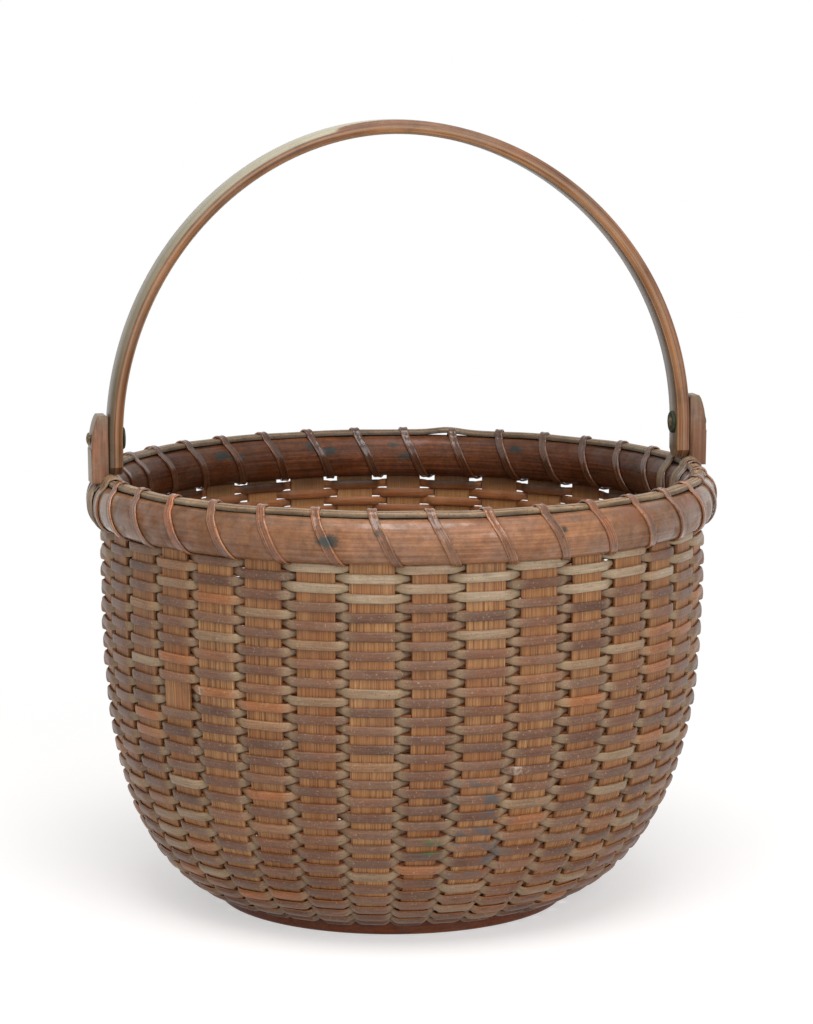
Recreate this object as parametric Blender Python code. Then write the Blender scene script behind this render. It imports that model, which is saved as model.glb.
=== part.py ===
"""Round woven cane basket with a turned wooden base and a swing handle.

Metres, +Z up. The origin is the centre of the base's underside. The handle swings about an axis
along X, through the two rivets, and stands upright at rest.
"""

import math

import bmesh
import bpy
from mathutils import Matrix, Vector
from mathutils.kdtree import KDTree

for old in list(bpy.data.objects):
    bpy.data.objects.remove(old, do_unlink=True)

# Clearance between pieces that touch, and the overrun of every cut
FIT_GAP = 0.0003
CUT_OVERRUN = 0.0020

# Base plate, turned from one board, with a groove round its edge for the stave feet
BASE_RADIUS = 0.0720
BASE_THICKNESS = 0.0126
BASE_EDGE_ROUNDING = 0.0015
BASE_UPPER_SETBACK = 0.0012
FOOT_HEIGHT = 0.0069
FOOT_DEPTH = 0.0080
TURNED_RING_RADIUS = 0.0450
TURNED_RING_WIDTH = 0.0016
TURNED_RING_DEPTH = 0.0007
BASE_SIDES = 56

# Staves, split wood, narrow at the foot and wide at the rim
STAVE_COUNT = 35
STAVE_THICKNESS = 0.0018
STAVE_FOOT_WIDTH = 0.0086
STAVE_TOP_WIDTH = 0.0136
STAVE_PHASE = math.radians(-0.3)

# Body: the middle line of the staves flares out from the base and rises into the rim
RIM_MIDDLE_RADIUS = 0.1209
RIM_TOP_HEIGHT = 0.1775
RIM_SHIFT = 0.0045
BODY_FULLNESS = 3.27
BODY_SPREAD = 0.62
LEAN_EASE = 3.0
RING_COUNT = 8
RING_CROWDING = 2.2

# Woven cane: one strand's thickness on each side of a stave, drawn in between the staves
CANE_THICKNESS = 0.0014
WEAVE_DIP = 0.0011

# Rim: two half-round hoops with the stave ends between them, and a cover strand on top
HOOP_HEIGHT = 0.0178
HOOP_THICKNESS = 0.0059
HOOP_SECTION_DEGREES = (90.0, 50.0, 17.0, -17.0, -50.0, -90.0)
COVER_WIDTH = 0.0056
COVER_THICKNESS = 0.0024
COVER_SECTION_DEGREES = (0.0, 45.0, 90.0, 135.0, 180.0)
RIM_WINDOW_HEIGHT = 0.0027

# Rim lashing: one flat cane strand, wound once for each gap between staves
LASHING_WIDTH = 0.0027
LASHING_THICKNESS = 0.0010
LASHING_SLACK = 0.0001
LASHING_PAIR_SPACING = 0.0034
LASHING_TOP_SPACING = 0.0034
LASHING_BOTTOM_REACH = 0.0018
LASHING_ADVANCE_SHARES = (0.0, 0.03, 0.17, 0.40, 0.62, 0.82, 0.93)
LEAST_SELF_GAP = 0.0004

# Ears: carved uprights seated in notches of the outer hoop
EAR_BREADTH = 0.0118
EAR_THICKNESS = 0.0069
EAR_RISE = 0.0265
EAR_TOP_THICKNESS = 0.0040
EAR_CHAMFER = 0.0012
EAR_CURVE_HEIGHT = 0.0095
EAR_TAIL_THICKNESS = 0.0030
EAR_TAIL_LIFT = 0.0015
EAR_SIDE_ROUNDING = 0.0007

# Handle: a bent bow of rectangular section with eased corners
PIVOT_RISE = 0.0152
HANDLE_BREADTH = 0.0118
HANDLE_THICKNESS = 0.0056
HANDLE_RISE = 0.1261
HANDLE_SQUARENESS = 1.96
HANDLE_CROWN_SHIFT = -0.0040
HANDLE_EDGE_CHAMFER = 0.0010
HANDLE_END_RADIUS = 0.0144
HANDLE_TIP_LENGTH = 0.0032
HANDLE_TIP_BREADTH = 0.0062
HANDLE_SEGMENTS = 28

# Rivets and the burrs that they are peened over
SHANK_RADIUS = 0.0014
HEAD_RADIUS = 0.0025
HEAD_HEIGHT = 0.0010
PEEN_RADIUS = 0.0022
PEEN_HEIGHT = 0.0008
BURR_RADIUS = 0.0046
BURR_THICKNESS = 0.0012
RIVET_SIDES = 16

STAVE_PITCH = math.tau / STAVE_COUNT
RIM_SEGMENTS = 2 * STAVE_COUNT
HOOP_TOP = RIM_TOP_HEIGHT - COVER_THICKNESS - FIT_GAP
HOOP_BOTTOM = HOOP_TOP - HOOP_HEIGHT
WEAVE_TOP = HOOP_BOTTOM - RIM_WINDOW_HEIGHT
STAVE_TOP = HOOP_TOP - FIT_GAP
BODY_START_RADIUS = BASE_RADIUS + FIT_GAP
HOOP_GAP_HALF = STAVE_THICKNESS / 2 + FIT_GAP
PIVOT_HEIGHT = RIM_TOP_HEIGHT + PIVOT_RISE
HANDLE_HALF_SPAN = RIM_MIDDLE_RADIUS + FIT_GAP


def give_material(piece, colour, roughness, metallic=0.0):
    """One Principled material, named after the piece."""
    material = bpy.data.materials.new(piece.name)
    material.use_nodes = True
    shader = material.node_tree.nodes["Principled BSDF"]
    shader.inputs["Base Color"].default_value = (*colour, 1.0)
    shader.inputs["Roughness"].default_value = roughness
    shader.inputs["Metallic"].default_value = metallic
    piece.data.materials.append(material)


def finish_piece(name, bm, colour, roughness, metallic=0.0, smooth=True):
    """Turn a bmesh into a named object with faces pointing out."""
    bmesh.ops.remove_doubles(bm, verts=bm.verts, dist=FIT_GAP / 100)
    bmesh.ops.recalc_face_normals(bm, faces=bm.faces)
    mesh = bpy.data.meshes.new(name)
    bm.to_mesh(mesh)
    bm.free()
    if smooth:
        mesh.shade_smooth()
        mesh.set_sharp_from_angle(angle=math.radians(40.0))
    piece = bpy.data.objects.new(name, mesh)
    bpy.context.scene.collection.objects.link(piece)
    give_material(piece, colour, roughness, metallic)
    return piece


def skin_sections(bm, sections, closed_path):
    """Join a row of vertex loops into a tube, with end caps on an open path."""
    loops = [[bm.verts.new(point) for point in section] for section in sections]
    count = len(loops[0])
    pairs = list(zip(loops, loops[1:]))
    if closed_path:
        pairs.append((loops[-1], loops[0]))
    for near, far in pairs:
        for i in range(count):
            j = (i + 1) % count
            bm.faces.new((near[i], near[j], far[j], far[i]))
    if not closed_path:
        bm.faces.new(loops[0])
        bm.faces.new(list(reversed(loops[-1])))


def add_cutter(name, bm):
    """A hidden wire object for a Boolean."""
    bmesh.ops.recalc_face_normals(bm, faces=bm.faces)
    mesh = bpy.data.meshes.new(name)
    bm.to_mesh(mesh)
    bm.free()
    cutter = bpy.data.objects.new(name, mesh)
    bpy.context.scene.collection.objects.link(cutter)
    cutter.hide_render = True
    cutter.display_type = "WIRE"
    return cutter


def box_cutter(name, low, high):
    """A box between two corners, for notches."""
    bm = bmesh.new()
    bmesh.ops.create_cube(bm, size=1.0)
    size = Vector(high) - Vector(low)
    middle = (Vector(high) + Vector(low)) / 2
    bmesh.ops.transform(bm, verts=bm.verts, matrix=Matrix.Translation(middle) @ Matrix.Diagonal((*size, 1.0)))
    return add_cutter(name, bm)


def bore_cutter(name, radius, x_low, x_high, height):
    """A round bore along X, its flats clear of the radius."""
    bm = bmesh.new()
    corner_radius = radius / math.cos(math.pi / RIVET_SIDES)
    turn = Matrix.Rotation(math.pi / 2, 4, "Y")
    middle = Matrix.Translation(((x_low + x_high) / 2, 0, height))
    bmesh.ops.create_cone(bm, cap_ends=True, segments=RIVET_SIDES, radius1=corner_radius,
                          radius2=corner_radius, depth=x_high - x_low, matrix=middle @ turn)
    return add_cutter(name, bm)


def cut(piece, cutter):
    """Cut one piece with a cutter."""
    modifier = piece.modifiers.new(cutter.name, "BOOLEAN")
    modifier.operation = "DIFFERENCE"
    modifier.solver = "EXACT"
    modifier.object = cutter


def lean(share):
    """Sideways place of the body's middle: the rim sits a little to one side of the base."""
    share = min(max(share, 0.0), 1.0)
    return RIM_SHIFT * (1.0 - (1.0 - share) ** LEAN_EASE)


def around(radius, angle, height, shift):
    """A point at an angle about the leaning middle line."""
    return Vector((radius * math.cos(angle) + shift, radius * math.sin(angle), height))


def body_station(share):
    """Radius, height and slope of the staves' middle line, from the base, 0, to the weave's top, 1."""
    fullness = 1.0 - (1.0 - share) ** BODY_FULLNESS
    reach = RIM_MIDDLE_RADIUS - BODY_START_RADIUS
    radius = BODY_START_RADIUS + reach * fullness ** BODY_SPREAD
    height = FOOT_HEIGHT + (WEAVE_TOP - FOOT_HEIGHT) * share
    rise = (WEAVE_TOP - FOOT_HEIGHT) * fullness ** (1.0 - BODY_SPREAD)
    run = reach * BODY_SPREAD * BODY_FULLNESS * (1.0 - share) ** (BODY_FULLNESS - 1.0)
    return radius, height, math.atan2(rise, run), lean(share)


def stave_width(radius):
    """Width of a stave where its middle line has this radius."""
    share = (radius - BODY_START_RADIUS) / (RIM_MIDDLE_RADIUS - BODY_START_RADIUS)
    return STAVE_FOOT_WIDTH + (STAVE_TOP_WIDTH - STAVE_FOOT_WIDTH) * share


def stave_frame(station, angle):
    """Matrix at a station: X across the stave, Y up along it, Z out of the basket."""
    radius, height, slope, shift = station
    outward = Vector((math.cos(angle), math.sin(angle), 0.0))
    across = Vector((-math.sin(angle), math.cos(angle), 0.0))
    along = outward * math.cos(slope) + Vector((0, 0, math.sin(slope)))
    out = outward * math.sin(slope) - Vector((0, 0, math.cos(slope)))
    frame = Matrix((across, along, out)).transposed().to_4x4()
    frame.translation = around(radius, angle, height, shift)
    return frame


BODY_STATIONS = [body_station((ring / RING_COUNT) ** RING_CROWDING) for ring in range(RING_COUNT + 1)]
FOOT_STATION = (BASE_RADIUS - FOOT_DEPTH, FOOT_HEIGHT, 0.0, 0.0)
STAVE_END_STATION = (RIM_MIDDLE_RADIUS, STAVE_TOP, math.pi / 2, RIM_SHIFT)


def stave_angle(index):
    """Angle of a stave about the basket; the left ear is at half a turn."""
    return math.pi + STAVE_PHASE + index * STAVE_PITCH


# Base plate: a turned disc; the staves' feet go into the groove in its edge.
def make_base_plate():
    groove_low = FOOT_HEIGHT - HOOP_GAP_HALF
    groove_high = FOOT_HEIGHT + HOOP_GAP_HALF
    groove_floor = BASE_RADIUS - FOOT_DEPTH - FIT_GAP
    upper_radius = BASE_RADIUS - BASE_UPPER_SETBACK
    outline = [
        (0, 0),
        (BASE_RADIUS - BASE_EDGE_ROUNDING, 0),
        (BASE_RADIUS, BASE_EDGE_ROUNDING),
        (BASE_RADIUS, groove_low),
        (groove_floor, groove_low),
        (groove_floor, groove_high),
        (upper_radius, groove_high),
        (upper_radius, BASE_THICKNESS - BASE_EDGE_ROUNDING),
        (upper_radius - BASE_EDGE_ROUNDING, BASE_THICKNESS),
        (TURNED_RING_RADIUS + TURNED_RING_WIDTH / 2, BASE_THICKNESS),
        (TURNED_RING_RADIUS, BASE_THICKNESS - TURNED_RING_DEPTH),
        (TURNED_RING_RADIUS - TURNED_RING_WIDTH / 2, BASE_THICKNESS),
        (0, BASE_THICKNESS),
    ]
    bm = bmesh.new()
    verts = [bm.verts.new((radius, 0, height)) for radius, height in outline]
    edges = [bm.edges.new(pair) for pair in zip(verts, verts[1:])]
    bmesh.ops.spin(bm, geom=verts + edges, cent=(0, 0, 0), axis=(0, 0, 1), angle=math.tau,
                   steps=BASE_SIDES, use_merge=True)
    return finish_piece("base_plate", bm, (0.16, 0.065, 0.035), 0.55)


# Staves: thin split strips. Each has its foot in the base's groove and its top between the hoops.
def make_stave(index):
    angle = stave_angle(index)
    half = STAVE_THICKNESS / 2
    sections = []
    for station in [FOOT_STATION, *BODY_STATIONS, STAVE_END_STATION]:
        frame = stave_frame(station, angle)
        reach = stave_width(station[0]) / 2
        corners = ((-reach, -half), (reach, -half), (reach, half), (-reach, half))
        sections.append([frame @ Vector((x, 0, z)) for x, z in corners])
    bm = bmesh.new()
    skin_sections(bm, sections, closed_path=False)
    return finish_piece(f"stave_{index + 1:02d}", bm, (0.35, 0.17, 0.075), 0.6)


# Woven cane: the body's wall, a strand thick on both sides of every stave, with a passage for each.
def make_cane_weave():
    skin = STAVE_THICKNESS / 2 + CANE_THICKNESS
    dip = skin - WEAVE_DIP
    bore = STAVE_THICKNESS / 2 + FIT_GAP
    bm = bmesh.new()
    rings = []
    for station in BODY_STATIONS:
        reach = stave_width(station[0]) / 2
        ring = []
        for index in range(STAVE_COUNT):
            on_stave = stave_frame(station, stave_angle(index))
            on_gap = stave_frame(station, stave_angle(index + 0.5))
            points = {
                "out_a": on_stave @ Vector((-reach, 0, skin)),
                "out_b": on_stave @ Vector((reach, 0, skin)),
                "out_gap": on_gap @ Vector((0, 0, dip)),
                "in_a": on_stave @ Vector((-reach, 0, -skin)),
                "in_b": on_stave @ Vector((reach, 0, -skin)),
                "in_gap": on_gap @ Vector((0, 0, -dip)),
                "bore_a_out": on_stave @ Vector((-reach - FIT_GAP, 0, bore)),
                "bore_b_out": on_stave @ Vector((reach + FIT_GAP, 0, bore)),
                "bore_b_in": on_stave @ Vector((reach + FIT_GAP, 0, -bore)),
                "bore_a_in": on_stave @ Vector((-reach - FIT_GAP, 0, -bore)),
            }
            ring.append({key: bm.verts.new(point) for key, point in points.items()})
        rings.append(ring)
    passage = ("bore_a_out", "bore_b_out", "bore_b_in", "bore_a_in")
    for low, high in zip(rings, rings[1:]):
        for index in range(STAVE_COUNT):
            after = (index + 1) % STAVE_COUNT
            for side in ("out", "in"):
                bm.faces.new((low[index][side + "_a"], low[index][side + "_b"],
                              high[index][side + "_b"], high[index][side + "_a"]))
                bm.faces.new((low[index][side + "_b"], low[index][side + "_gap"],
                              high[index][side + "_gap"], high[index][side + "_b"]))
                bm.faces.new((low[index][side + "_gap"], low[after][side + "_a"],
                              high[after][side + "_a"], high[index][side + "_gap"]))
            for near, far in zip(passage, passage[1:] + passage[:1]):
                bm.faces.new((low[index][near], low[index][far], high[index][far], high[index][near]))
    for ring in (rings[0], rings[-1]):
        for index in range(STAVE_COUNT):
            here = ring[index]
            after = ring[(index + 1) % STAVE_COUNT]
            bm.faces.new((here["out_a"], here["out_b"], here["bore_b_out"], here["bore_a_out"]))
            bm.faces.new((here["bore_a_in"], here["bore_b_in"], here["in_b"], here["in_a"]))
            bm.faces.new((here["out_b"], here["out_gap"], here["in_gap"], here["in_b"],
                          here["bore_b_in"], here["bore_b_out"]))
            bm.faces.new((here["out_gap"], after["out_a"], after["bore_a_out"], after["bore_a_in"],
                          after["in_a"], here["in_gap"]))
    bmesh.ops.triangulate(bm, faces=bm.faces)
    return finish_piece("cane_weave", bm, (0.30, 0.15, 0.085), 0.62)


def ring_piece(name, outline, colour, roughness):
    """A ring about the rim's middle with this outline of (radius, height) points, a flat in front of each stave."""
    sections = []
    for step in range(RIM_SEGMENTS):
        angle = STAVE_PHASE + (step + 0.5) * math.tau / RIM_SEGMENTS
        sections.append([around(radius, angle, height, RIM_SHIFT) for radius, height in outline])
    bm = bmesh.new()
    skin_sections(bm, sections, closed_path=True)
    return finish_piece(name, bm, colour, roughness)


def hoop_outline(side):
    """Half-round section; side is 1 for the outer hoop and -1 for the inner."""
    middle = (HOOP_TOP + HOOP_BOTTOM) / 2
    outline = []
    for degrees in HOOP_SECTION_DEGREES:
        turn = math.radians(degrees)
        reach = HOOP_GAP_HALF + HOOP_THICKNESS * math.cos(turn)
        outline.append((RIM_MIDDLE_RADIUS + side * reach, middle + HOOP_HEIGHT / 2 * math.sin(turn)))
    return outline


# Ears: the place of each, measured outwards from the rim's middle along X
EAR_INNER = HANDLE_HALF_SPAN + FIT_GAP
EAR_OUTER = EAR_INNER + EAR_THICKNESS
EAR_TAIL_INNER = RIM_MIDDLE_RADIUS + HOOP_GAP_HALF
EAR_TAIL_OUTER = EAR_TAIL_INNER + EAR_TAIL_THICKNESS
EAR_TOP = RIM_TOP_HEIGHT + EAR_RISE
EAR_SEAT = HOOP_TOP + FIT_GAP
EAR_TAIL_END = HOOP_BOTTOM + EAR_TAIL_LIFT


# Hoops: half-round wood bent round the stave ends, notched on the outside hoop for the ears' tails.
def make_hoops():
    outer = ring_piece("outer_rim_hoop", hoop_outline(1), (0.34, 0.15, 0.07), 0.38)
    inner = ring_piece("inner_rim_hoop", hoop_outline(-1), (0.13, 0.055, 0.035), 0.42)
    for name, side in (("left", -1), ("right", 1)):
        near = RIM_SHIFT + side * (EAR_TAIL_INNER - CUT_OVERRUN)
        far = RIM_SHIFT + side * (EAR_TAIL_OUTER + FIT_GAP)
        reach = EAR_BREADTH / 2 + FIT_GAP
        low = (min(near, far), -reach, HOOP_BOTTOM - CUT_OVERRUN)
        high = (max(near, far), reach, HOOP_TOP + CUT_OVERRUN)
        cut(outer, box_cutter(f"{name}_hoop_notch", low, high))
    return outer, inner


# Cover strand: split cane laid over the stave ends, thinned where it passes the ears.
def make_cover_strand():
    bottom = HOOP_TOP + FIT_GAP
    outline = []
    for degrees in COVER_SECTION_DEGREES:
        turn = math.radians(degrees)
        radius = RIM_MIDDLE_RADIUS + COVER_WIDTH / 2 * math.cos(turn)
        outline.append((radius, bottom + COVER_THICKNESS * math.sin(turn)))
    cover = ring_piece("rim_cover_strand", outline, (0.42, 0.32, 0.22), 0.6)
    for name, side in (("left", -1), ("right", 1)):
        near = RIM_SHIFT + side * (EAR_INNER - FIT_GAP)
        far = RIM_SHIFT + side * (RIM_MIDDLE_RADIUS + COVER_WIDTH / 2 + CUT_OVERRUN)
        reach = EAR_BREADTH / 2 + FIT_GAP
        low = (min(near, far), -reach, bottom - CUT_OVERRUN)
        high = (max(near, far), reach, bottom + COVER_THICKNESS + CUT_OVERRUN)
        cut(cover, box_cutter(f"{name}_cover_notch", low, high))
    return cover


def lashing_half_section():
    """Points of the strand's middle from the rim's top, down one face, to under the hoop.

    Each is (distance from the rim's middle, height, direction out of the section).
    """
    lift = FIT_GAP + LASHING_SLACK + LASHING_THICKNESS / 2
    cover_bottom = HOOP_TOP + FIT_GAP
    top = (0.0, cover_bottom + COVER_THICKNESS + lift, Vector((0.0, 1.0)))
    turn = math.radians(45.0)
    shoulder = (
        (COVER_WIDTH / 2 + lift) * math.cos(turn),
        cover_bottom + (COVER_THICKNESS + lift) * math.sin(turn),
        Vector((math.cos(turn), math.sin(turn))),
    )
    points = [top, shoulder]
    middle = (HOOP_TOP + HOOP_BOTTOM) / 2
    for degrees in HOOP_SECTION_DEGREES[1:-1]:
        turn = math.radians(degrees)
        out = Vector((math.cos(turn) / HOOP_THICKNESS, math.sin(turn) / (HOOP_HEIGHT / 2))).normalized()
        reach = HOOP_GAP_HALF + HOOP_THICKNESS * math.cos(turn) + lift * out.x
        points.append((reach, middle + HOOP_HEIGHT / 2 * math.sin(turn) + lift * out.y, out))
    points.append((LASHING_BOTTOM_REACH, HOOP_BOTTOM - lift, Vector((0.0, -1.0))))
    return points


def lashing_crossings():
    """Angles at which the strand passes under the rim and over it, in order round the basket."""
    pair_turn = LASHING_PAIR_SPACING / 2 / RIM_MIDDLE_RADIUS
    ears = (math.pi, math.tau)
    bottoms = []
    for index in range(STAVE_COUNT):
        gap = stave_angle(index + 0.5)
        beside_ear = any(abs(gap - ear) < STAVE_PITCH * 0.75 for ear in (*ears, 3 * math.pi))
        if beside_ear:
            bottoms.extend((gap - pair_turn, gap + pair_turn))
        else:
            bottoms.append(gap)
    ear_clear = (EAR_BREADTH / 2 + LASHING_WIDTH + FIT_GAP * 2) / RIM_MIDDLE_RADIUS
    spacing = LASHING_TOP_SPACING / RIM_MIDDLE_RADIUS
    tops = [(before + after) / 2 for before, after in zip(bottoms, bottoms[1:])]
    for place in reversed(range(len(tops))):
        for ear in ears:
            if abs(tops[place] - ear) < ear_clear:
                tops[place] = ear - ear_clear
        if place + 1 < len(tops):
            tops[place] = min(tops[place], tops[place + 1] - spacing)
    return bottoms, tops


def lashing_path():
    """The strand's middle line, as (point, direction out of the rim) pairs."""
    half = lashing_half_section()
    bottoms, tops = lashing_crossings()
    path = []

    def add(angle, side, station):
        reach, height, out = station
        outward = Vector((math.cos(angle), math.sin(angle), 0.0))
        point = around(RIM_MIDDLE_RADIUS + side * reach, angle, height, RIM_SHIFT)
        path.append((point, outward * side * out.x + Vector((0, 0, out.y))))

    for place, top in enumerate(tops):
        before = bottoms[place]
        after = bottoms[place + 1]
        rising = list(zip(LASHING_ADVANCE_SHARES, half))[1:]
        for share, station in reversed(rising):
            add(top + (before - top) * share, -1, station)
        add(top, 1, half[0])
        for share, station in rising:
            add(top + (after - top) * share, 1, station)
    return path


def least_self_gap(path, width):
    """Least clear distance between turns of the strand, measured on points a millimetre apart."""
    step = LASHING_THICKNESS
    samples = []
    for (near, _), (far, _) in zip(path, path[1:]):
        count = max(1, math.ceil((far - near).length / step))
        samples.extend(near.lerp(far, i / count) for i in range(count))
    tree = KDTree(len(samples))
    for index, sample in enumerate(samples):
        tree.insert(sample, index)
    tree.balance()
    half_turn = len(samples) // (2 * STAVE_COUNT + 8)
    least = math.inf
    for index, sample in enumerate(samples):
        for _, other, distance in tree.find_range(sample, 3 * width):
            if abs(other - index) > half_turn:
                least = min(least, distance)
    return least - width


# Lashing: one unbroken flat strand of cane that binds the hoops, the staves and the cover together.
def make_lashing():
    path = lashing_path()
    points = [point for point, _ in path]
    sections = []
    for place, (point, out) in enumerate(path):
        before = points[max(place - 1, 0)]
        after = points[min(place + 1, len(points) - 1)]
        along = (after - before).normalized()
        across = along.cross(out).normalized()
        out = across.cross(along).normalized()
        side = across * LASHING_WIDTH / 2
        rise = out * LASHING_THICKNESS / 2
        sections.append([point - side - rise, point + side - rise, point + side + rise, point - side + rise])
    bm = bmesh.new()
    skin_sections(bm, sections, closed_path=False)
    gap = least_self_gap(path, LASHING_WIDTH)
    print(f"rim_lashing: least gap to itself {gap * 1000:.2f} mm, wanted over {LEAST_SELF_GAP * 1000:.1f} mm")
    return finish_piece("rim_lashing", bm, (0.36, 0.20, 0.12), 0.5)


# Ears: each is carved with a tail that goes down into the notch of the outer hoop.
def make_ear(name, side):
    outline = [
        (EAR_INNER, EAR_SEAT),
        (EAR_INNER, EAR_TOP - EAR_CHAMFER),
        (EAR_INNER + EAR_CHAMFER, EAR_TOP),
        (EAR_INNER + EAR_TOP_THICKNESS, EAR_TOP),
        (EAR_OUTER - (EAR_THICKNESS - EAR_TOP_THICKNESS) / 3, EAR_TOP - EAR_CURVE_HEIGHT / 3),
        (EAR_OUTER, EAR_TOP - EAR_CURVE_HEIGHT),
        (EAR_OUTER, EAR_SEAT),
        (EAR_TAIL_OUTER, EAR_SEAT),
        (EAR_TAIL_OUTER, EAR_TAIL_END),
        (EAR_TAIL_INNER, EAR_TAIL_END),
        (EAR_TAIL_INNER, EAR_SEAT),
    ]
    bm = bmesh.new()
    verts = [bm.verts.new((RIM_SHIFT + side * x, -EAR_BREADTH / 2, z)) for x, z in outline]
    face = bm.faces.new(verts)
    grown = bmesh.ops.extrude_face_region(bm, geom=[face])
    moved = [item for item in grown["geom"] if isinstance(item, bmesh.types.BMVert)]
    bmesh.ops.translate(bm, verts=moved, vec=(0, EAR_BREADTH, 0))
    ear = finish_piece(name, bm, (0.24, 0.12, 0.075), 0.5)
    bevel = ear.modifiers.new("eased_edges", "BEVEL")
    bevel.width = EAR_SIDE_ROUNDING
    bevel.segments = 1
    bevel.limit_method = "ANGLE"
    bevel.angle_limit = math.radians(60.0)
    ends = sorted((RIM_SHIFT + side * (EAR_INNER - CUT_OVERRUN), RIM_SHIFT + side * (EAR_OUTER + CUT_OVERRUN)))
    cut(ear, bore_cutter(f"{name}_bore", SHANK_RADIUS + FIT_GAP, *ends, PIVOT_HEIGHT))
    return ear


# Handle: a bow bent from one strip of wood; its ends hang inside the ears on the rivets.
def make_handle():
    middle_span = HANDLE_HALF_SPAN - HANDLE_THICKNESS / 2
    middle_rise = HANDLE_RISE - HANDLE_THICKNESS / 2
    drop = HANDLE_END_RADIUS - HANDLE_TIP_LENGTH
    stations = [(-middle_span, -HANDLE_END_RADIUS, HANDLE_TIP_BREADTH), (-middle_span, -drop, HANDLE_BREADTH)]
    for step in range(HANDLE_SEGMENTS + 1):
        turn = math.pi * (1.0 - step / HANDLE_SEGMENTS)
        power = 2.0 / HANDLE_SQUARENESS
        side = math.copysign(1.0, math.cos(turn))
        x = HANDLE_CROWN_SHIFT + side * abs(math.cos(turn)) ** power * (middle_span - side * HANDLE_CROWN_SHIFT)
        z = abs(math.sin(turn)) ** power * middle_rise
        stations.append((x, z, HANDLE_BREADTH))
    stations += [(middle_span, -drop, HANDLE_BREADTH), (middle_span, -HANDLE_END_RADIUS, HANDLE_TIP_BREADTH)]
    sections = []
    for place, (x, z, breadth) in enumerate(stations):
        before = stations[max(place - 1, 0)]
        after = stations[min(place + 1, len(stations) - 1)]
        along = Vector((after[0] - before[0], 0, after[1] - before[1])).normalized()
        if abs(abs(x) - middle_span) < FIT_GAP:
            along = Vector((0, 0, math.copysign(1.0, -x)))
        out = Vector((-along.z, 0, along.x))
        deep = HANDLE_THICKNESS / 2
        wide = breadth / 2
        bevel = HANDLE_EDGE_CHAMFER
        corners = ((deep, wide - bevel), (deep - bevel, wide), (bevel - deep, wide), (-deep, wide - bevel),
                   (-deep, bevel - wide), (bevel - deep, -wide), (deep - bevel, -wide), (deep, bevel - wide))
        sections.append([Vector((x, 0, z)) + out * a + Vector((0, b, 0)) for a, b in corners])
    bm = bmesh.new()
    skin_sections(bm, sections, closed_path=False)
    handle = finish_piece("handle_bow", bm, (0.30, 0.15, 0.085), 0.45)
    handle.location = (RIM_SHIFT, 0, PIVOT_HEIGHT)
    for name, side in (("left", -1), ("right", 1)):
        inner = HANDLE_HALF_SPAN - HANDLE_THICKNESS - CUT_OVERRUN
        outer = HANDLE_HALF_SPAN + CUT_OVERRUN
        ends = sorted((RIM_SHIFT + side * inner, RIM_SHIFT + side * outer))
        cut(handle, bore_cutter(f"{name}_handle_bore", SHANK_RADIUS + FIT_GAP, *ends, PIVOT_HEIGHT))
    return handle


def turned_about_x(name, side, outline, closed, colour, roughness):
    """A turned piece on the pivot axis; outline is (distance from the rim's middle, radius)."""
    bm = bmesh.new()
    verts = [bm.verts.new((RIM_SHIFT + side * x, 0, PIVOT_HEIGHT + radius)) for x, radius in outline]
    edges = [bm.edges.new(pair) for pair in zip(verts, verts[1:])]
    if closed:
        edges.append(bm.edges.new((verts[-1], verts[0])))
    bmesh.ops.spin(bm, geom=verts + edges, cent=(0, 0, PIVOT_HEIGHT), axis=(1, 0, 0), angle=math.tau,
                   steps=RIVET_SIDES, use_merge=True)
    return finish_piece(name, bm, colour, roughness, metallic=1.0)


BURR_OUTER = HANDLE_HALF_SPAN - HANDLE_THICKNESS - FIT_GAP
BURR_INNER = BURR_OUTER - BURR_THICKNESS


# Rivets: a domed head outside the ear, a shank through ear and handle, peened over the burr inside.
def make_rivet(name, side):
    seat = EAR_OUTER + FIT_GAP
    peen = BURR_INNER - FIT_GAP
    outline = [
        (seat + HEAD_HEIGHT, 0),
        (seat + HEAD_HEIGHT * 0.8, HEAD_RADIUS * 0.6),
        (seat, HEAD_RADIUS),
        (seat, SHANK_RADIUS),
        (peen, SHANK_RADIUS),
        (peen, PEEN_RADIUS),
        (peen - PEEN_HEIGHT * 0.8, PEEN_RADIUS * 0.6),
        (peen - PEEN_HEIGHT, 0),
    ]
    return turned_about_x(name, side, outline, False, (0.45, 0.30, 0.14), 0.45)


# Burrs: round metal washers between the rivet's peened end and the handle.
def make_burr(name, side):
    hole = SHANK_RADIUS + FIT_GAP
    edge = BURR_THICKNESS / 3
    outline = [
        (BURR_OUTER, hole),
        (BURR_OUTER, BURR_RADIUS),
        (BURR_INNER + edge, BURR_RADIUS),
        (BURR_INNER, BURR_RADIUS - edge),
        (BURR_INNER, hole),
    ]
    return turned_about_x(name, side, outline, True, (0.20, 0.30, 0.22), 0.6)


make_base_plate()
for stave_index in range(STAVE_COUNT):
    make_stave(stave_index)
make_cane_weave()
make_hoops()
make_cover_strand()
make_lashing()
make_handle()
for side_name, side_sign in (("left", -1), ("right", 1)):
    make_ear(f"{side_name}_ear", side_sign)
    make_rivet(f"{side_name}_rivet", side_sign)
    make_burr(f"{side_name}_burr", side_sign)
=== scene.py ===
"""Looks of a round woven cane basket: turned base, split staves, cane weave, lashed rim, swing handle."""

import math
import random

import bmesh
import bpy
from mathutils import Matrix, Vector


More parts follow.
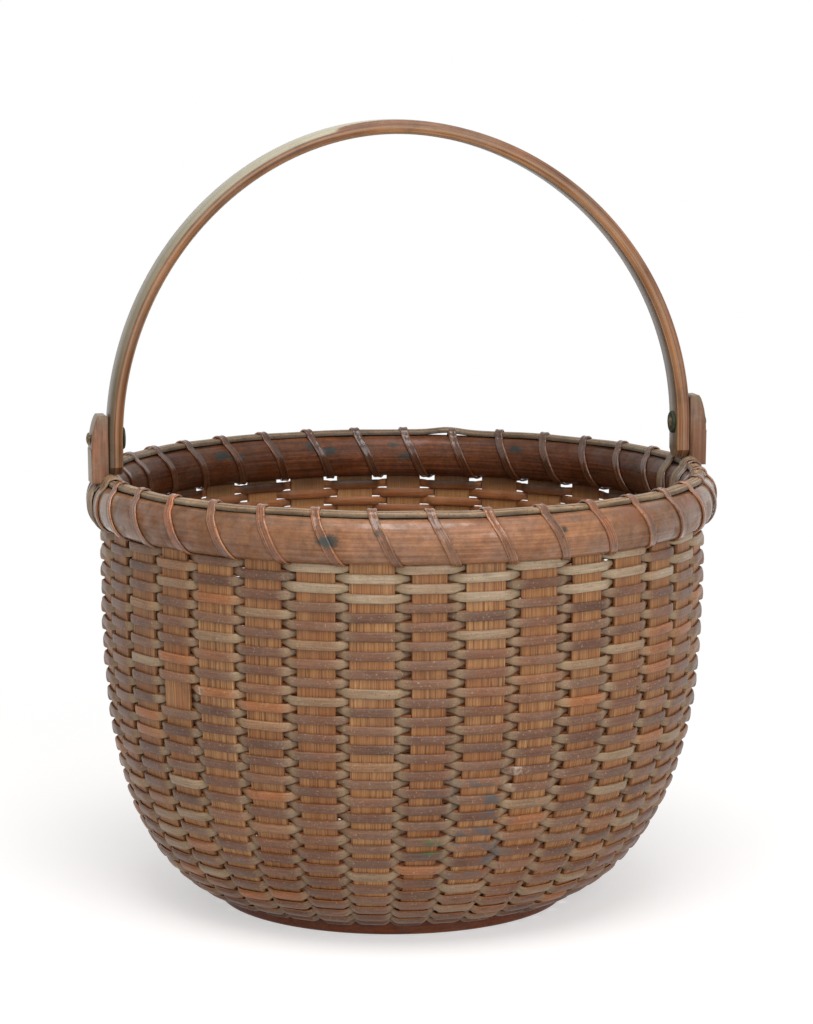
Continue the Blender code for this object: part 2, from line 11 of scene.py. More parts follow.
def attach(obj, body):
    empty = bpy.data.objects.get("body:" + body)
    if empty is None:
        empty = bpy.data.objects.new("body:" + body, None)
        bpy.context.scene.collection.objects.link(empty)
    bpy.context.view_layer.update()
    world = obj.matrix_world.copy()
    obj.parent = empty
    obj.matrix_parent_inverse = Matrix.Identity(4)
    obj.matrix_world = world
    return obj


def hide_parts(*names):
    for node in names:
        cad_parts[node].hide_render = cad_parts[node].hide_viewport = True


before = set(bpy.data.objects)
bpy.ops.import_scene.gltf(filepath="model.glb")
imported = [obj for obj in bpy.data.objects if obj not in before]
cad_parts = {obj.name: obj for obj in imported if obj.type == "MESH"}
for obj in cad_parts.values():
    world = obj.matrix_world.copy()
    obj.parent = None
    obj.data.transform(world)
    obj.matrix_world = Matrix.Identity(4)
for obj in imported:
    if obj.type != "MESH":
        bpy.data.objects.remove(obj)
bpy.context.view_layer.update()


# Base: one disc of dark hardwood, turned on a lathe, with eased edges and a groove cut round its
# edge for the feet of the staves. The underside and the floor keep the marks of the turning tool.
BASE_RADIUS = 0.0720
BASE_THICKNESS = 0.0126
BASE_ROUNDING = 0.0018
BASE_SETBACK = 0.0012
GROOVE_LOW = 0.0057
GROOVE_HIGH = 0.0081
GROOVE_FLOOR = 0.0637
BASE_STEPS = 144
TURNED_RINGS = (0.0180, 0.0450, 0.0462, 0.0640)
RING_WIDTH = 0.0011
RING_DEPTH = 0.0006
RECESS_RADIUS = 0.0500
RECESS_DEPTH = 0.0005


def wire(tree, kind, settings=None, **inputs):
    """Add a shader node, set its options, and set or link its inputs by name or place."""
    node = tree.nodes.new(kind)
    for name, value in (settings or {}).items():
        setattr(node, name, value)
    for name, value in inputs.items():
        socket = node.inputs[int(name[1:])] if name[0] == "i" and name[1:].isdigit() else None
        socket = socket or node.inputs[name.replace("_", " ")]
        if isinstance(value, bpy.types.NodeSocket):
            tree.links.new(value, socket)
        else:
            socket.default_value = value
    return node


def ramp(tree, factor, *stops):
    """A colour ramp over (place, colour) stops; a plain number is a grey."""
    node = wire(tree, "ShaderNodeValToRGB", i0=factor)
    elements = node.color_ramp.elements
    while len(elements) < len(stops):
        elements.new(1.0)
    for element, (place, colour) in zip(elements, stops):
        element.position = place
        element.color = (*colour, 1.0) if isinstance(colour, tuple) else (colour, colour, colour, 1.0)
    return node.outputs["Color"]


def mix(tree, factor, first, second, blend="MIX"):
    """Mix two colours; first and second are sockets or (r, g, b)."""
    node = wire(tree, "ShaderNodeMix", {"data_type": "RGBA", "blend_type": blend})
    for place, value in ((0, factor), (6, first), (7, second)):
        if isinstance(value, bpy.types.NodeSocket):
            tree.links.new(value, node.inputs[place])
        else:
            node.inputs[place].default_value = (*value, 1.0) if isinstance(value, tuple) else value
    return node.outputs[2]


def maths(tree, operation, first, second=0.0, clamp=False):
    """A Math node's value."""
    return wire(tree, "ShaderNodeMath", {"operation": operation, "use_clamp": clamp}, i0=first, i1=second).outputs[0]


def noise(tree, vector, scale, detail=3.0, roughness=0.55):
    """Noise value at a scale in features for each metre."""
    node = wire(tree, "ShaderNodeTexNoise", Vector=vector, Scale=scale, Detail=detail, Roughness=roughness)
    return node.outputs["Fac"]


def new_group(name, inputs, outputs):
    """A shader node group with named float, vector or colour sockets."""
    kinds = {"float": "NodeSocketFloat", "vector": "NodeSocketVector", "colour": "NodeSocketColor"}
    tree = bpy.data.node_groups.new(name, "ShaderNodeTree")
    for label, kind, value in inputs:
        socket = tree.interface.new_socket(name=label, in_out="INPUT", socket_type=kinds[kind])
        if value is not None:
            socket.default_value = value
    for label, kind in outputs:
        tree.interface.new_socket(name=label, in_out="OUTPUT", socket_type=kinds[kind])
    return tree, tree.nodes.new("NodeGroupInput"), tree.nodes.new("NodeGroupOutput")


def make_grain_group():
    """Grain along the X of its vector: long streaks, fine pores and slow bands."""
    tree, given, result = new_group(
        "wood_grain",
        [("Vector", "vector", None), ("Streaks", "float", 900.0), ("Length", "float", 25.0),
         ("Pores", "float", 0.5), ("Bands", "float", 60.0)],
        [("Grain", "float"), ("Bands", "float"), ("Pores", "float")])
    across = given.outputs["Streaks"]
    along = given.outputs["Length"]
    stretch = wire(tree, "ShaderNodeCombineXYZ", X=along, Y=across, Z=across).outputs[0]
    placed = wire(tree, "ShaderNodeVectorMath", {"operation": "MULTIPLY"}, i0=given.outputs["Vector"], i1=stretch)
    streak = wire(tree, "ShaderNodeTexNoise", Vector=placed.outputs[0], Scale=1.0, Detail=4.0, Roughness=0.6)
    pore_place = wire(tree, "ShaderNodeVectorMath", {"operation": "SCALE"}, i0=placed.outputs[0], Scale=2.3)
    pore = wire(tree, "ShaderNodeTexNoise", Vector=pore_place.outputs[0], Scale=1.0, Detail=2.0, Roughness=0.5)
    pores = ramp(tree, pore.outputs["Fac"], (0.56, 0.0), (0.66, 1.0))
    pores = maths(tree, "MULTIPLY", pores, given.outputs["Pores"])
    slow = wire(tree, "ShaderNodeVectorMath", {"operation": "SCALE"}, i0=given.outputs["Vector"],
                Scale=given.outputs["Bands"])
    bands = wire(tree, "ShaderNodeTexNoise", Vector=slow.outputs[0], Scale=1.0, Detail=3.0, Roughness=0.5)
    tree.links.new(streak.outputs["Fac"], result.inputs["Grain"])
    tree.links.new(bands.outputs["Fac"], result.inputs["Bands"])
    tree.links.new(pores, result.inputs["Pores"])
    return tree


WOOD_GRAIN = make_grain_group()


def make_dust_group():
    """Old grey dust and dark grime, patchy over the surface."""
    tree, given, result = new_group(
        "dust_and_grime",
        [("Color", "colour", (0.5, 0.5, 0.5, 1.0)), ("Vector", "vector", None), ("Dust", "float", 0.3),
         ("Dust Color", "colour", (0.30, 0.25, 0.19, 1.0)), ("Grime", "float", 0.3),
         ("Grime Color", "colour", (0.035, 0.022, 0.016, 1.0)), ("Patch", "float", 160.0)],
        [("Color", "colour"), ("Dust", "float")])
    place = wire(tree, "ShaderNodeVectorMath", {"operation": "SCALE"}, i0=given.outputs["Vector"],
                 Scale=given.outputs["Patch"]).outputs[0]
    fine = wire(tree, "ShaderNodeVectorMath", {"operation": "SCALE"}, i0=place, Scale=9.0).outputs[0]
    cloud = wire(tree, "ShaderNodeTexNoise", Vector=place, Scale=1.0, Detail=5.0, Roughness=0.65).outputs["Fac"]
    speck = wire(tree, "ShaderNodeTexNoise", Vector=fine, Scale=1.0, Detail=2.0, Roughness=0.6).outputs["Fac"]
    dusty = ramp(tree, cloud, (0.40, 0.0), (0.68, 1.0))
    dusty = maths(tree, "MULTIPLY", dusty, given.outputs["Dust"])
    specks = ramp(tree, speck, (0.50, 0.6), (0.62, 1.0))
    dusty = maths(tree, "MULTIPLY", dusty, specks)
    shifted = wire(tree, "ShaderNodeVectorMath", {"operation": "ADD"}, i0=place, i1=(31.7, 12.3, 5.1)).outputs[0]
    other = wire(tree, "ShaderNodeTexNoise", Vector=shifted, Scale=1.4, Detail=5.0, Roughness=0.7).outputs["Fac"]
    grimy = ramp(tree, other, (0.55, 0.0), (0.72, 1.0))
    grimy = maths(tree, "MULTIPLY", grimy, given.outputs["Grime"])
    colour = mix(tree, dusty, given.outputs["Color"], given.outputs["Dust Color"])
    colour = mix(tree, grimy, colour, given.outputs["Grime Color"])
    tree.links.new(colour, result.inputs["Color"])
    tree.links.new(dusty, result.inputs["Dust"])
    return tree


DUST_AND_GRIME = make_dust_group()


def new_material(name, roughness, coat=0.0):
    """A material with its tree and its Principled shader."""
    material = bpy.data.materials.new(name)
    material.use_nodes = True
    shader = material.node_tree.nodes["Principled BSDF"]
    shader.inputs["Roughness"].default_value = roughness
    shader.inputs["Specular IOR Level"].default_value = 0.24
    shader.inputs["Coat Weight"].default_value = coat
    shader.inputs["Coat Roughness"].default_value = 0.30
    return material, material.node_tree, shader


def bump(tree, shader, height, strength, distance):
    """Feed a height to the shader's normal."""
    node = wire(tree, "ShaderNodeBump", Strength=strength, Distance=distance, Height=height)
    tree.links.new(node.outputs["Normal"], shader.inputs["Normal"])


def use_group(tree, group, **inputs):
    """Place a node group in a material."""
    node = tree.nodes.new("ShaderNodeGroup")
    node.node_tree = group
    for name, value in inputs.items():
        socket = node.inputs[name.replace("_", " ")]
        if isinstance(value, bpy.types.NodeSocket):
            tree.links.new(value, socket)
        else:
            socket.default_value = value
    return node


def place_piece(name, bm, material, smooth_degrees=40.0):
    """Make a bmesh a named object with smooth faces and its material."""
    mesh = bpy.data.meshes.new(name)
    bm.to_mesh(mesh)
    bm.free()
    mesh.shade_smooth()
    mesh.set_sharp_from_angle(angle=math.radians(smooth_degrees))
    mesh.materials.append(material)
    piece = bpy.data.objects.new(name, mesh)
    bpy.context.scene.collection.objects.link(piece)
    return piece


def arc(centre, radius, start, end, steps):
    """Points of an arc in a turned outline, angles in degrees."""
    points = []
    for step in range(steps + 1):
        turn = math.radians(start + (end - start) * step / steps)
        points.append((centre[0] + radius * math.cos(turn), centre[1] + radius * math.sin(turn)))
    return points


def make_base_wood():
    material, tree, shader = new_material("turned_hardwood", 0.5, 0.08)
    place = wire(tree, "ShaderNodeTexCoord").outputs["Object"]
    grain = use_group(tree, WOOD_GRAIN, Vector=place, Streaks=700.0, Length=22.0, Pores=0.8, Bands=28.0)
    tone = ramp(tree, grain.outputs["Grain"], (0.25, (0.090, 0.019, 0.004)), (0.5, (0.190, 0.040, 0.008)),
                (0.75, (0.265, 0.064, 0.015)))
    tone = mix(tree, maths(tree, "MULTIPLY", grain.outputs["Bands"], 0.5), tone, (0.100, 0.032, 0.015))
    tone = mix(tree, maths(tree, "MULTIPLY", grain.outputs["Pores"], 0.6), tone, (0.025, 0.013, 0.009))
    aged = use_group(tree, DUST_AND_GRIME, Color=tone, Vector=place, Dust=0.15, Grime=0.35, Patch=60.0)
    tree.links.new(aged.outputs["Color"], shader.inputs["Base Color"])
    flat = wire(tree, "ShaderNodeVectorMath", {"operation": "MULTIPLY"}, i0=place, i1=(1.0, 1.0, 0.0))
    away = wire(tree, "ShaderNodeVectorMath", {"operation": "LENGTH"}, i0=flat.outputs[0]).outputs["Value"]
    lathe = maths(tree, "SINE", maths(tree, "MULTIPLY", away, 5200.0))
    height = maths(tree, "ADD", maths(tree, "MULTIPLY", lathe, 0.25), grain.outputs["Grain"])
    bump(tree, shader, height, 0.35, 0.0003)
    return material


def make_turned_base():
    top = BASE_THICKNESS
    upper = BASE_RADIUS - BASE_SETBACK
    outline = [(0.0, RECESS_DEPTH), (RECESS_RADIUS, RECESS_DEPTH), (RECESS_RADIUS + RECESS_DEPTH, 0.0)]
    outline += arc((BASE_RADIUS - BASE_ROUNDING, BASE_ROUNDING), BASE_ROUNDING, -90, 0, 6)
    outline += [(BASE_RADIUS, GROOVE_LOW), (GROOVE_FLOOR, GROOVE_LOW), (GROOVE_FLOOR, GROOVE_HIGH)]
    outline += [(upper, GROOVE_HIGH)]
    outline += arc((upper - BASE_ROUNDING, top - BASE_ROUNDING), BASE_ROUNDING, 0, 90, 5)
    for ring in reversed(TURNED_RINGS):
        outline += [(ring + RING_WIDTH / 2, top), (ring, top - RING_DEPTH), (ring - RING_WIDTH / 2, top)]
    outline += [(0.0, top)]
    bm = bmesh.new()
    verts = [bm.verts.new((radius, 0.0, height)) for radius, height in outline]
    edges = [bm.edges.new(pair) for pair in zip(verts, verts[1:])]
    bmesh.ops.spin(bm, geom=verts + edges, cent=(0, 0, 0), axis=(0, 0, 1), angle=math.tau,
                   steps=BASE_STEPS, use_merge=True)
    bmesh.ops.remove_doubles(bm, verts=bm.verts, dist=0.00001)
    bmesh.ops.recalc_face_normals(bm, faces=bm.faces)
    return place_piece("turned_base", bm, make_base_wood())


turned_base = make_turned_base()
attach(turned_base, "basket")
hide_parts("base_plate")


# Staves: 35 uprights of split wood, narrow at the foot and wide at the rim, planed with a slight
# crown. Each foot is pushed into the base's groove, and each top end stands between the rim hoops.
STAVE_COUNT = 35
STAVE_PITCH = math.tau / STAVE_COUNT
STAVE_PHASE = math.radians(-0.3)
STAVE_THICKNESS = 0.0018
STAVE_FOOT_WIDTH = 0.0086
STAVE_TOP_WIDTH = 0.0150
STAVE_FOOT_DEPTH = 0.0080
STAVE_TOP = 0.1745
STAVE_STATIONS = 26
FIT_GAP = 0.0003
FOOT_HEIGHT = 0.0069
BODY_START_RADIUS = 0.0723
RIM_RADIUS = 0.1209
RIM_SHIFT = 0.0045
WEAVE_TOP = 0.1543
BODY_FULLNESS = 3.27
BODY_SPREAD = 0.62
LEAN_EASE = 3.0
WIDE_STAVES = {7: 1.15, 8: 0.90, 9: 1.04, 6: 1.02, 4: 1.12, 11: 0.92}


def lean(share):
    """Sideways place of the body's middle at a share of its height."""
    share = min(max(share, 0.0), 1.0)
    return RIM_SHIFT * (1.0 - (1.0 - share) ** LEAN_EASE)


def wall_frame(share, angle, lift=0.0):
    """Matrix on the staves' middle surface: X along the rim, Y up the stave, Z out of the basket."""
    left = 1.0 - min(share, 1.0)
    reach = RIM_RADIUS - BODY_START_RADIUS
    tall = WEAVE_TOP - FOOT_HEIGHT
    rise = tall * (1.0 - left ** BODY_FULLNESS) ** (1.0 - BODY_SPREAD)
    slope = math.atan2(rise, reach * BODY_SPREAD * BODY_FULLNESS * left ** (BODY_FULLNESS - 1.0))
    outward = Vector((math.cos(angle), math.sin(angle), 0.0))
    across = Vector((-math.sin(angle), math.cos(angle), 0.0))
    along = outward * math.cos(slope) + Vector((0, 0, math.sin(slope)))
    out = outward * math.sin(slope) - Vector((0, 0, math.cos(slope)))
    matrix = Matrix((across, along, out)).transposed().to_4x4()
    matrix.translation = outward * wall_radius(share) + Vector((lean(share), 0, FOOT_HEIGHT + tall * share))
    matrix.translation += out * lift
    return matrix


def wall_radius(share):
    """Radius of the staves' middle surface about the leaning axis."""
    fullness = 1.0 - (1.0 - min(share, 1.0)) ** BODY_FULLNESS
    return BODY_START_RADIUS + (RIM_RADIUS - BODY_START_RADIUS) * fullness ** BODY_SPREAD


def rim_frame(angle, radius, height):
    """Matrix about the rim: X along the rim, Y up, Z outwards."""
    outward = Vector((math.cos(angle), math.sin(angle), 0.0))
    across = Vector((-math.sin(angle), math.cos(angle), 0.0))
    matrix = Matrix((across, Vector((0, 0, 1)), outward)).transposed().to_4x4()
    matrix.translation = outward * radius + Vector((RIM_SHIFT, 0, height))
    return matrix


def sweep(bm, rings, grain, tones=0.5, tips=None):
    """Roll a grid into a closed bar through rings of points.

    grain holds the distance along for each ring and the distance across for each point. They are kept
    on the points with the tone, for the material. tones and tips hold a value for each ring.
    """
    layer = bm.verts.layers.float_vector.get("grain") or bm.verts.layers.float_vector.new("grain")
    tip = bm.verts.layers.float.get("tip") or bm.verts.layers.float.new("tip")
    alongs, arounds = grain
    steps = len(rings)
    sides = len(rings[0])
    verts = bmesh.ops.create_grid(bm, x_segments=steps - 1, y_segments=sides, size=1.0)["verts"]
    for index, vert in enumerate(verts):
        step = index % steps
        side = index // steps % sides
        vert.co = rings[step][side]
        vert[layer] = (alongs[step], arounds[side], tones[step] if isinstance(tones, list) else tones)
        vert[tip] = tips[step] if tips else 0.0
    seam = verts[:steps] + verts[-steps:]
    ends = {edge for vert in verts[::steps] + verts[steps - 1::steps] for edge in vert.link_edges if edge.is_boundary}
    bmesh.ops.holes_fill(bm, edges=weld_seam(bm, seam, ends), sides=0)


def weld_seam(bm, seam, ends):
    """Merge the two long edges of a rolled grid, and return the edges of its open ends."""
    bmesh.ops.remove_doubles(bm, verts=seam, dist=0.000001)
    return [edge for edge in ends if edge.is_valid and edge.is_boundary]


def inside_shares(tree, solid):
    """Share of the wall's inside, and share of painted shade there, darkest just under the overhanging hoop."""
    around_axis = wire(tree, "ShaderNodeVectorMath", {"operation": "SUBTRACT"}, i0=solid, i1=(RIM_SHIFT, 0.0, 0.0))
    flat = wire(tree, "ShaderNodeVectorMath", {"operation": "MULTIPLY"}, i0=around_axis.outputs[0], i1=(1.0, 1.0, 0.0))
    away = wire(tree, "ShaderNodeVectorMath", {"operation": "LENGTH"}, i0=flat.outputs[0]).outputs["Value"]
    height = wire(tree, "ShaderNodeSeparateXYZ", i0=solid).outputs[2]
    inside = ramp(tree, maths(tree, "DIVIDE", away, RIM_RADIUS), (0.990, 1.0), (0.999, 0.0))
    height = maths(tree, "DIVIDE", height, WEAVE_TOP)
    inside = maths(tree, "MULTIPLY", inside, ramp(tree, height, (0.66, 0.0), (0.74, 1.0)))
    # Painted shade under the hoop: darkest right below it, fading down the inside of the wall.
    high = ramp(tree, height, (0.84, 0.0), (0.93, 0.10), (0.975, 0.16), (1.005, 0.90))
    return inside, maths(tree, "MULTIPLY", inside, high)


STAVE_SECTION = ((-1.0, 0.5), (-0.95, 0.95), (-0.5, 1.12), (0.0, 1.18), (0.5, 1.12), (0.95, 0.95), (1.0, 0.5),
                 (1.0, -0.5), (0.95, -1.0), (0.0, -1.0), (-0.95, -1.0), (-1.0, -0.5))


def make_stave_wood():
    material, tree, shader = new_material("split_stave_wood", 0.55, 0.05)
    held = wire(tree, "ShaderNodeAttribute", {"attribute_name": "grain"}).outputs["Vector"]
    parts = wire(tree, "ShaderNodeSeparateXYZ", i0=held)
    place = wire(tree, "ShaderNodeCombineXYZ", X=parts.outputs[0], Y=parts.outputs[1],
                 Z=maths(tree, "MULTIPLY", parts.outputs[2], 0.37)).outputs[0]
    grain = use_group(tree, WOOD_GRAIN, Vector=place, Streaks=1900.0, Length=26.0, Pores=1.0, Bands=70.0)
    tone = ramp(tree, grain.outputs["Grain"], (0.28, (0.130, 0.048, 0.016)), (0.46, (0.370, 0.176, 0.068)),
                (0.72, (0.600, 0.345, 0.150)))
    reddish = ramp(tree, grain.outputs["Bands"], (0.42, 0.0), (0.68, 0.55))
    tone = mix(tree, reddish, tone, (0.300, 0.105, 0.038))
    tone = mix(tree, maths(tree, "MULTIPLY", parts.outputs[2], 0.55), tone, (0.620, 0.450, 0.330), "MULTIPLY")
    tone = mix(tree, maths(tree, "MULTIPLY", grain.outputs["Pores"], 0.8), tone, (0.075, 0.032, 0.018))
    solid = wire(tree, "ShaderNodeTexCoord").outputs["Object"]
    inside, under_hoop_shade = inside_shares(tree, solid)
    tone = mix(tree, maths(tree, "MULTIPLY", inside, 0.55), tone, (0.560, 0.265, 0.080))
    # Painted shade just under the hoop on the inside of the wall.
    tone = mix(tree, under_hoop_shade, tone, (0.030, 0.012, 0.006))
    aged = use_group(tree, DUST_AND_GRIME, Color=tone, Vector=solid, Dust=0.15, Grime=0.3, Patch=70.0)
    tree.links.new(aged.outputs["Color"], shader.inputs["Base Color"])
    bump(tree, shader, grain.outputs["Grain"], 0.5, 0.0003)
    return material


def make_stave(index, wood):
    angle = math.pi + STAVE_PHASE + index * STAVE_PITCH
    luck = random.Random(index)
    broad = WIDE_STAVES.get(index, luck.uniform(0.93, 1.08))
    frames = [rim_frame(angle, BODY_START_RADIUS - FIT_GAP - STAVE_FOOT_DEPTH, FOOT_HEIGHT)]
    foot = wall_frame(0.0, angle)
    foot.translation = frames[0].translation - Vector((RIM_SHIFT, 0, 0))
    frames = [foot]
    frames += [wall_frame((step / STAVE_STATIONS) ** 2.0, angle) for step in range(STAVE_STATIONS + 1)]
    frames += [rim_frame(angle, RIM_RADIUS, WEAVE_TOP + (STAVE_TOP - WEAVE_TOP) * step / 4) for step in range(1, 5)]
    shares = [0.0] + [(wall_radius((step / STAVE_STATIONS) ** 2.0) - BODY_START_RADIUS)
                      / (RIM_RADIUS - BODY_START_RADIUS) for step in range(STAVE_STATIONS + 1)] + [1.0] * 4
    rings = []
    alongs = [index * 0.31]
    for place, (matrix, share) in enumerate(zip(frames, shares)):
        width = STAVE_FOOT_WIDTH + (STAVE_TOP_WIDTH * broad - STAVE_FOOT_WIDTH) * share
        half = STAVE_THICKNESS / 2
        if place:
            alongs.append(alongs[-1] + (matrix.translation - frames[place - 1].translation).length)
        rings.append([matrix @ Vector((x * width / 2, 0, z * half)) for x, z in STAVE_SECTION])
    arounds = [x * STAVE_TOP_WIDTH / 2 + (0.0 if z > 0 else 0.05) for x, z in STAVE_SECTION]
    bm = bmesh.new()
    sweep(bm, rings, (alongs, arounds), luck.random())
    bmesh.ops.recalc_face_normals(bm, faces=bm.faces)
    return place_piece(f"split_stave_{index + 1:02d}", bm, wood)


stave_wood = make_stave_wood()
for stave_index in range(STAVE_COUNT):
    stave = make_stave(stave_index, stave_wood)
    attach(stave, "basket")
    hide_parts(f"stave_{stave_index + 1:02d}")


# Weave: one long strand of cane at a time, woven over one stave and under the next, round and round.
# The number of staves is odd, so each turn passes over where the last one passed under.
CANE_WIDTH = 0.00378
CANE_THICKNESS = 0.00165
COURSE_COUNT = 47
COURSES_IN_A_PIECE = 12
INNER_FACE = 0.05
STITCH_SHARES = (0.0, 0.20, 0.30, 0.36, 0.41, 0.455, 0.5, 0.545, 0.59, 0.64, 0.70, 0.80)
WEAVE_START_STAVE = 18
WEAVE_LIFT = 0.0017
WEAVE_STIFFNESS = 1.5
WEAVE_TIP_SHARE = 0.38
TOP_TIP_SHARE = 0.55
WEAVE_TIP_START = 0.468
WEAVE_INNER_SPREAD = 1.06
LOW_COURSE_SPREAD = 0.48
LOW_COURSES_END = 0.64
TIP_COLOUR_START = 0.33
FIRST_COURSE_RISE = 0.0016
TOP_COURSE_RISE = 0.0021
BROKEN_FLOATS = (1105,)
COURSE_SPREAD = 0.04
WEAVE_ARC_STEPS = 400
CANE_SECTION = ((-1.0, 0.15), (-0.92, 0.70), (-0.66, 0.95), (0.0, 1.05), (0.66, 0.95), (0.92, 0.70), (1.0, 0.15),
                (0.97, -0.40), (0.66, -0.92), (0.0, -1.0), (-0.66, -0.92), (-0.97, -0.40))


def wall_place(angle_degrees, height):
    """A place on the outside of the weave for a stain."""
    matrix = wall_frame((height - FOOT_HEIGHT) / (WEAVE_TOP - FOOT_HEIGHT), math.radians(angle_degrees), 0.0024)
    return tuple(matrix.translation)


WEAVE_STAINS = ((wall_place(-88.0, 0.053), 0.030, (0.072, 0.080, 0.088)),
                (wall_place(-96.5, 0.0455), 0.007, (0.050, 0.110, 0.020)),
                (wall_place(-143.0, 0.1025), 0.004, (0.500, 0.450, 0.380)),
                (wall_place(-81.0, 0.0735), 0.007, (0.480, 0.400, 0.320)))


def wall_arc():
    """Arc length up the wall for evenly spaced shares of its height."""
    lengths = [0.0]
    last = wall_frame(0.0, 0.0).translation
    for step in range(1, WEAVE_ARC_STEPS + 1):
        point = wall_frame(step / WEAVE_ARC_STEPS, 0.0).translation
        lengths.append(lengths[-1] + (point - last).length)
        last = point
    return lengths


WALL_ARC = wall_arc()


def share_at(length):
    """Share of the wall's height at an arc length up it; past 1 it goes straight up."""
    if length >= WALL_ARC[-1]:
        return 1.0 + (length - WALL_ARC[-1]) / (WEAVE_TOP - FOOT_HEIGHT)
    low = 0
    high = WEAVE_ARC_STEPS
    while high - low > 1:
        middle = (low + high) // 2
        if WALL_ARC[middle] <= length:
            low = middle
        else:
            high = middle
    part = (length - WALL_ARC[low]) / (WALL_ARC[high] - WALL_ARC[low])
    return (low + part) / WEAVE_ARC_STEPS


def make_cane():
    material, tree, shader = new_material("woven_cane", 0.5, 0.08)
    shader.inputs["Specular IOR Level"].default_value = 0.18
    held = wire(tree, "ShaderNodeAttribute", {"attribute_name": "grain"}).outputs["Vector"]
    tip = wire(tree, "ShaderNodeAttribute", {"attribute_name": "tip"}).outputs["Fac"]
    parts = wire(tree, "ShaderNodeSeparateXYZ", i0=held)
    place = wire(tree, "ShaderNodeCombineXYZ", X=parts.outputs[0], Y=parts.outputs[1]).outputs[0]
    grain = use_group(tree, WOOD_GRAIN, Vector=place, Streaks=1500.0, Length=60.0, Pores=0.6, Bands=22.0)
    solid = wire(tree, "ShaderNodeTexCoord").outputs["Object"]
    slow = noise(tree, solid, 26.0, 3.0)
    tone = ramp(tree, parts.outputs[2], (0.0, (0.110, 0.051, 0.032)), (0.30, (0.158, 0.075, 0.047)),
                (0.55, (0.205, 0.104, 0.062)), (0.70, (0.350, 0.125, 0.042)), (0.80, (0.270, 0.175, 0.102)),
                (1.0, (0.450, 0.345, 0.235)))
    warm = ramp(tree, slow, (0.46, 0.0), (0.70, 0.5))
    tone = mix(tree, warm, tone, (0.250, 0.092, 0.040))
    light = ramp(tree, grain.outputs["Grain"], (0.25, 0.62), (0.75, 1.32))
    tone = mix(tree, 1.0, tone, light, "MULTIPLY")
    khaki = maths(tree, "MULTIPLY", tip, ramp(tree, grain.outputs["Bands"], (0.35, 0.25), (0.6, 0.80)))
    tone = mix(tree, khaki, tone, (0.345, 0.252, 0.150))
    tone = mix(tree, maths(tree, "MULTIPLY", grain.outputs["Pores"], 0.5), tone, (0.060, 0.028, 0.017))
    speck = noise(tree, solid, 1300.0, 3.0, 0.65)
    tone = mix(tree, ramp(tree, speck, (0.60, 0.0), (0.70, 0.55)), tone, (0.520, 0.430, 0.330))
    tone = mix(tree, ramp(tree, speck, (0.32, 0.55), (0.41, 0.0)), tone, (0.070, 0.040, 0.026))
    for spot, reach, colour in WEAVE_STAINS:
        away = wire(tree, "ShaderNodeVectorMath", {"operation": "DISTANCE"}, i0=solid, i1=spot).outputs["Value"]
        near = ramp(tree, maths(tree, "DIVIDE", away, reach), (0.5, 1.0), (1.0, 0.0))
        blotch = ramp(tree, noise(tree, solid, 1.2 / reach + 95.0, 3.0), (0.50, 0.0), (0.62, 0.75))
        tone = mix(tree, maths(tree, "MULTIPLY", near, blotch), tone, colour)
    within = ramp(tree, maths(tree, "DIVIDE", parts.outputs[1], INNER_FACE), (0.35, 0.0), (0.65, 0.90))
    red = ramp(tree, grain.outputs["Bands"], (0.35, (0.270, 0.086, 0.026)), (0.65, (0.470, 0.175, 0.055)))
    tone = mix(tree, within, tone, mix(tree, 1.0, red, light, "MULTIPLY"))
    inside, under_hoop_shade = inside_shares(tree, solid)
    # Painted shade just under the hoop on the inside of the wall.
    tone = mix(tree, under_hoop_shade, tone, (0.030, 0.012, 0.006))
    aged = use_group(tree, DUST_AND_GRIME, Color=tone, Vector=solid, Dust=0.22, Grime=0.35, Patch=75.0)
    tree.links.new(aged.outputs["Color"], shader.inputs["Base Color"])
    rough = maths(tree, "ADD", 0.40, maths(tree, "MULTIPLY", aged.outputs["Dust"], 0.4))
    tree.links.new(rough, shader.inputs["Roughness"])
    bump(tree, shader, grain.outputs["Grain"], 0.35, 0.0003)
    return material


def cane_point(stitch, luck):
    """Frame of the strand at a count of staves from its start, the width shares of its faces, and its tip value."""
    turn = stitch / STAVE_COUNT / COURSE_COUNT
    climb = turn + COURSE_SPREAD * turn * (turn - 1.0)
    wobble = 0.00012 * math.sin(stitch * 0.71) + 0.00010 * math.sin(stitch * 0.173 + 1.0)
    wobble += 0.00010 * math.sin(stitch * 2.39 + 0.5)
    length = FIRST_COURSE_RISE + (WALL_ARC[-1] + TOP_COURSE_RISE - FIRST_COURSE_RISE) * climb + wobble
    wave = -math.cos(math.pi * stitch)
    if math.floor(stitch + 0.5) in BROKEN_FLOATS:
        wave = -abs(wave)
    over = math.sin(math.pi / 2 * min(max(wave * WEAVE_STIFFNESS, -1.0), 1.0))
    dives = [min(max((side * wave / WEAVE_TIP_START + 0.6) / 1.6, 0.0), 1.0) for side in (-1, 1)]
    blunt = WEAVE_TIP_SHARE + (TOP_TIP_SHARE - WEAVE_TIP_SHARE) * min(max((climb - 0.82) / 0.12, 0.0), 1.0)
    outer, inner = [1.0 - (1.0 - blunt) * dive ** 1.5 for dive in dives]
    angle = math.pi + STAVE_PHASE + (stitch + WEAVE_START_STAVE) * STAVE_PITCH
    return wall_frame(share_at(length), angle, over * (WEAVE_LIFT + luck)), outer, inner, math.exp(-(wave / 0.36) ** 2)


def float_tone(course, stitch, usual, luck):
    """Tone where the strand passes one stave: mostly its course's own, here and there orange or khaki.

    The outside of the top courses has bleached to khaki from the front round to the right ear.
    """
    choice = luck.random()
    plain = min(max(usual + luck.uniform(-0.12, 0.12), 0.0), 0.60)
    if stitch % 2 == 0:
        return plain * 0.6
    stave = (stitch + WEAVE_START_STAVE) % STAVE_COUNT
    if course > COURSE_COUNT - 5 and stave > 5 and choice < 0.80:
        return luck.uniform(0.90, 1.0)
    if choice < 0.06:
        return luck.uniform(0.66, 0.72)
    return luck.uniform(0.76, 0.86) if choice < 0.16 else plain


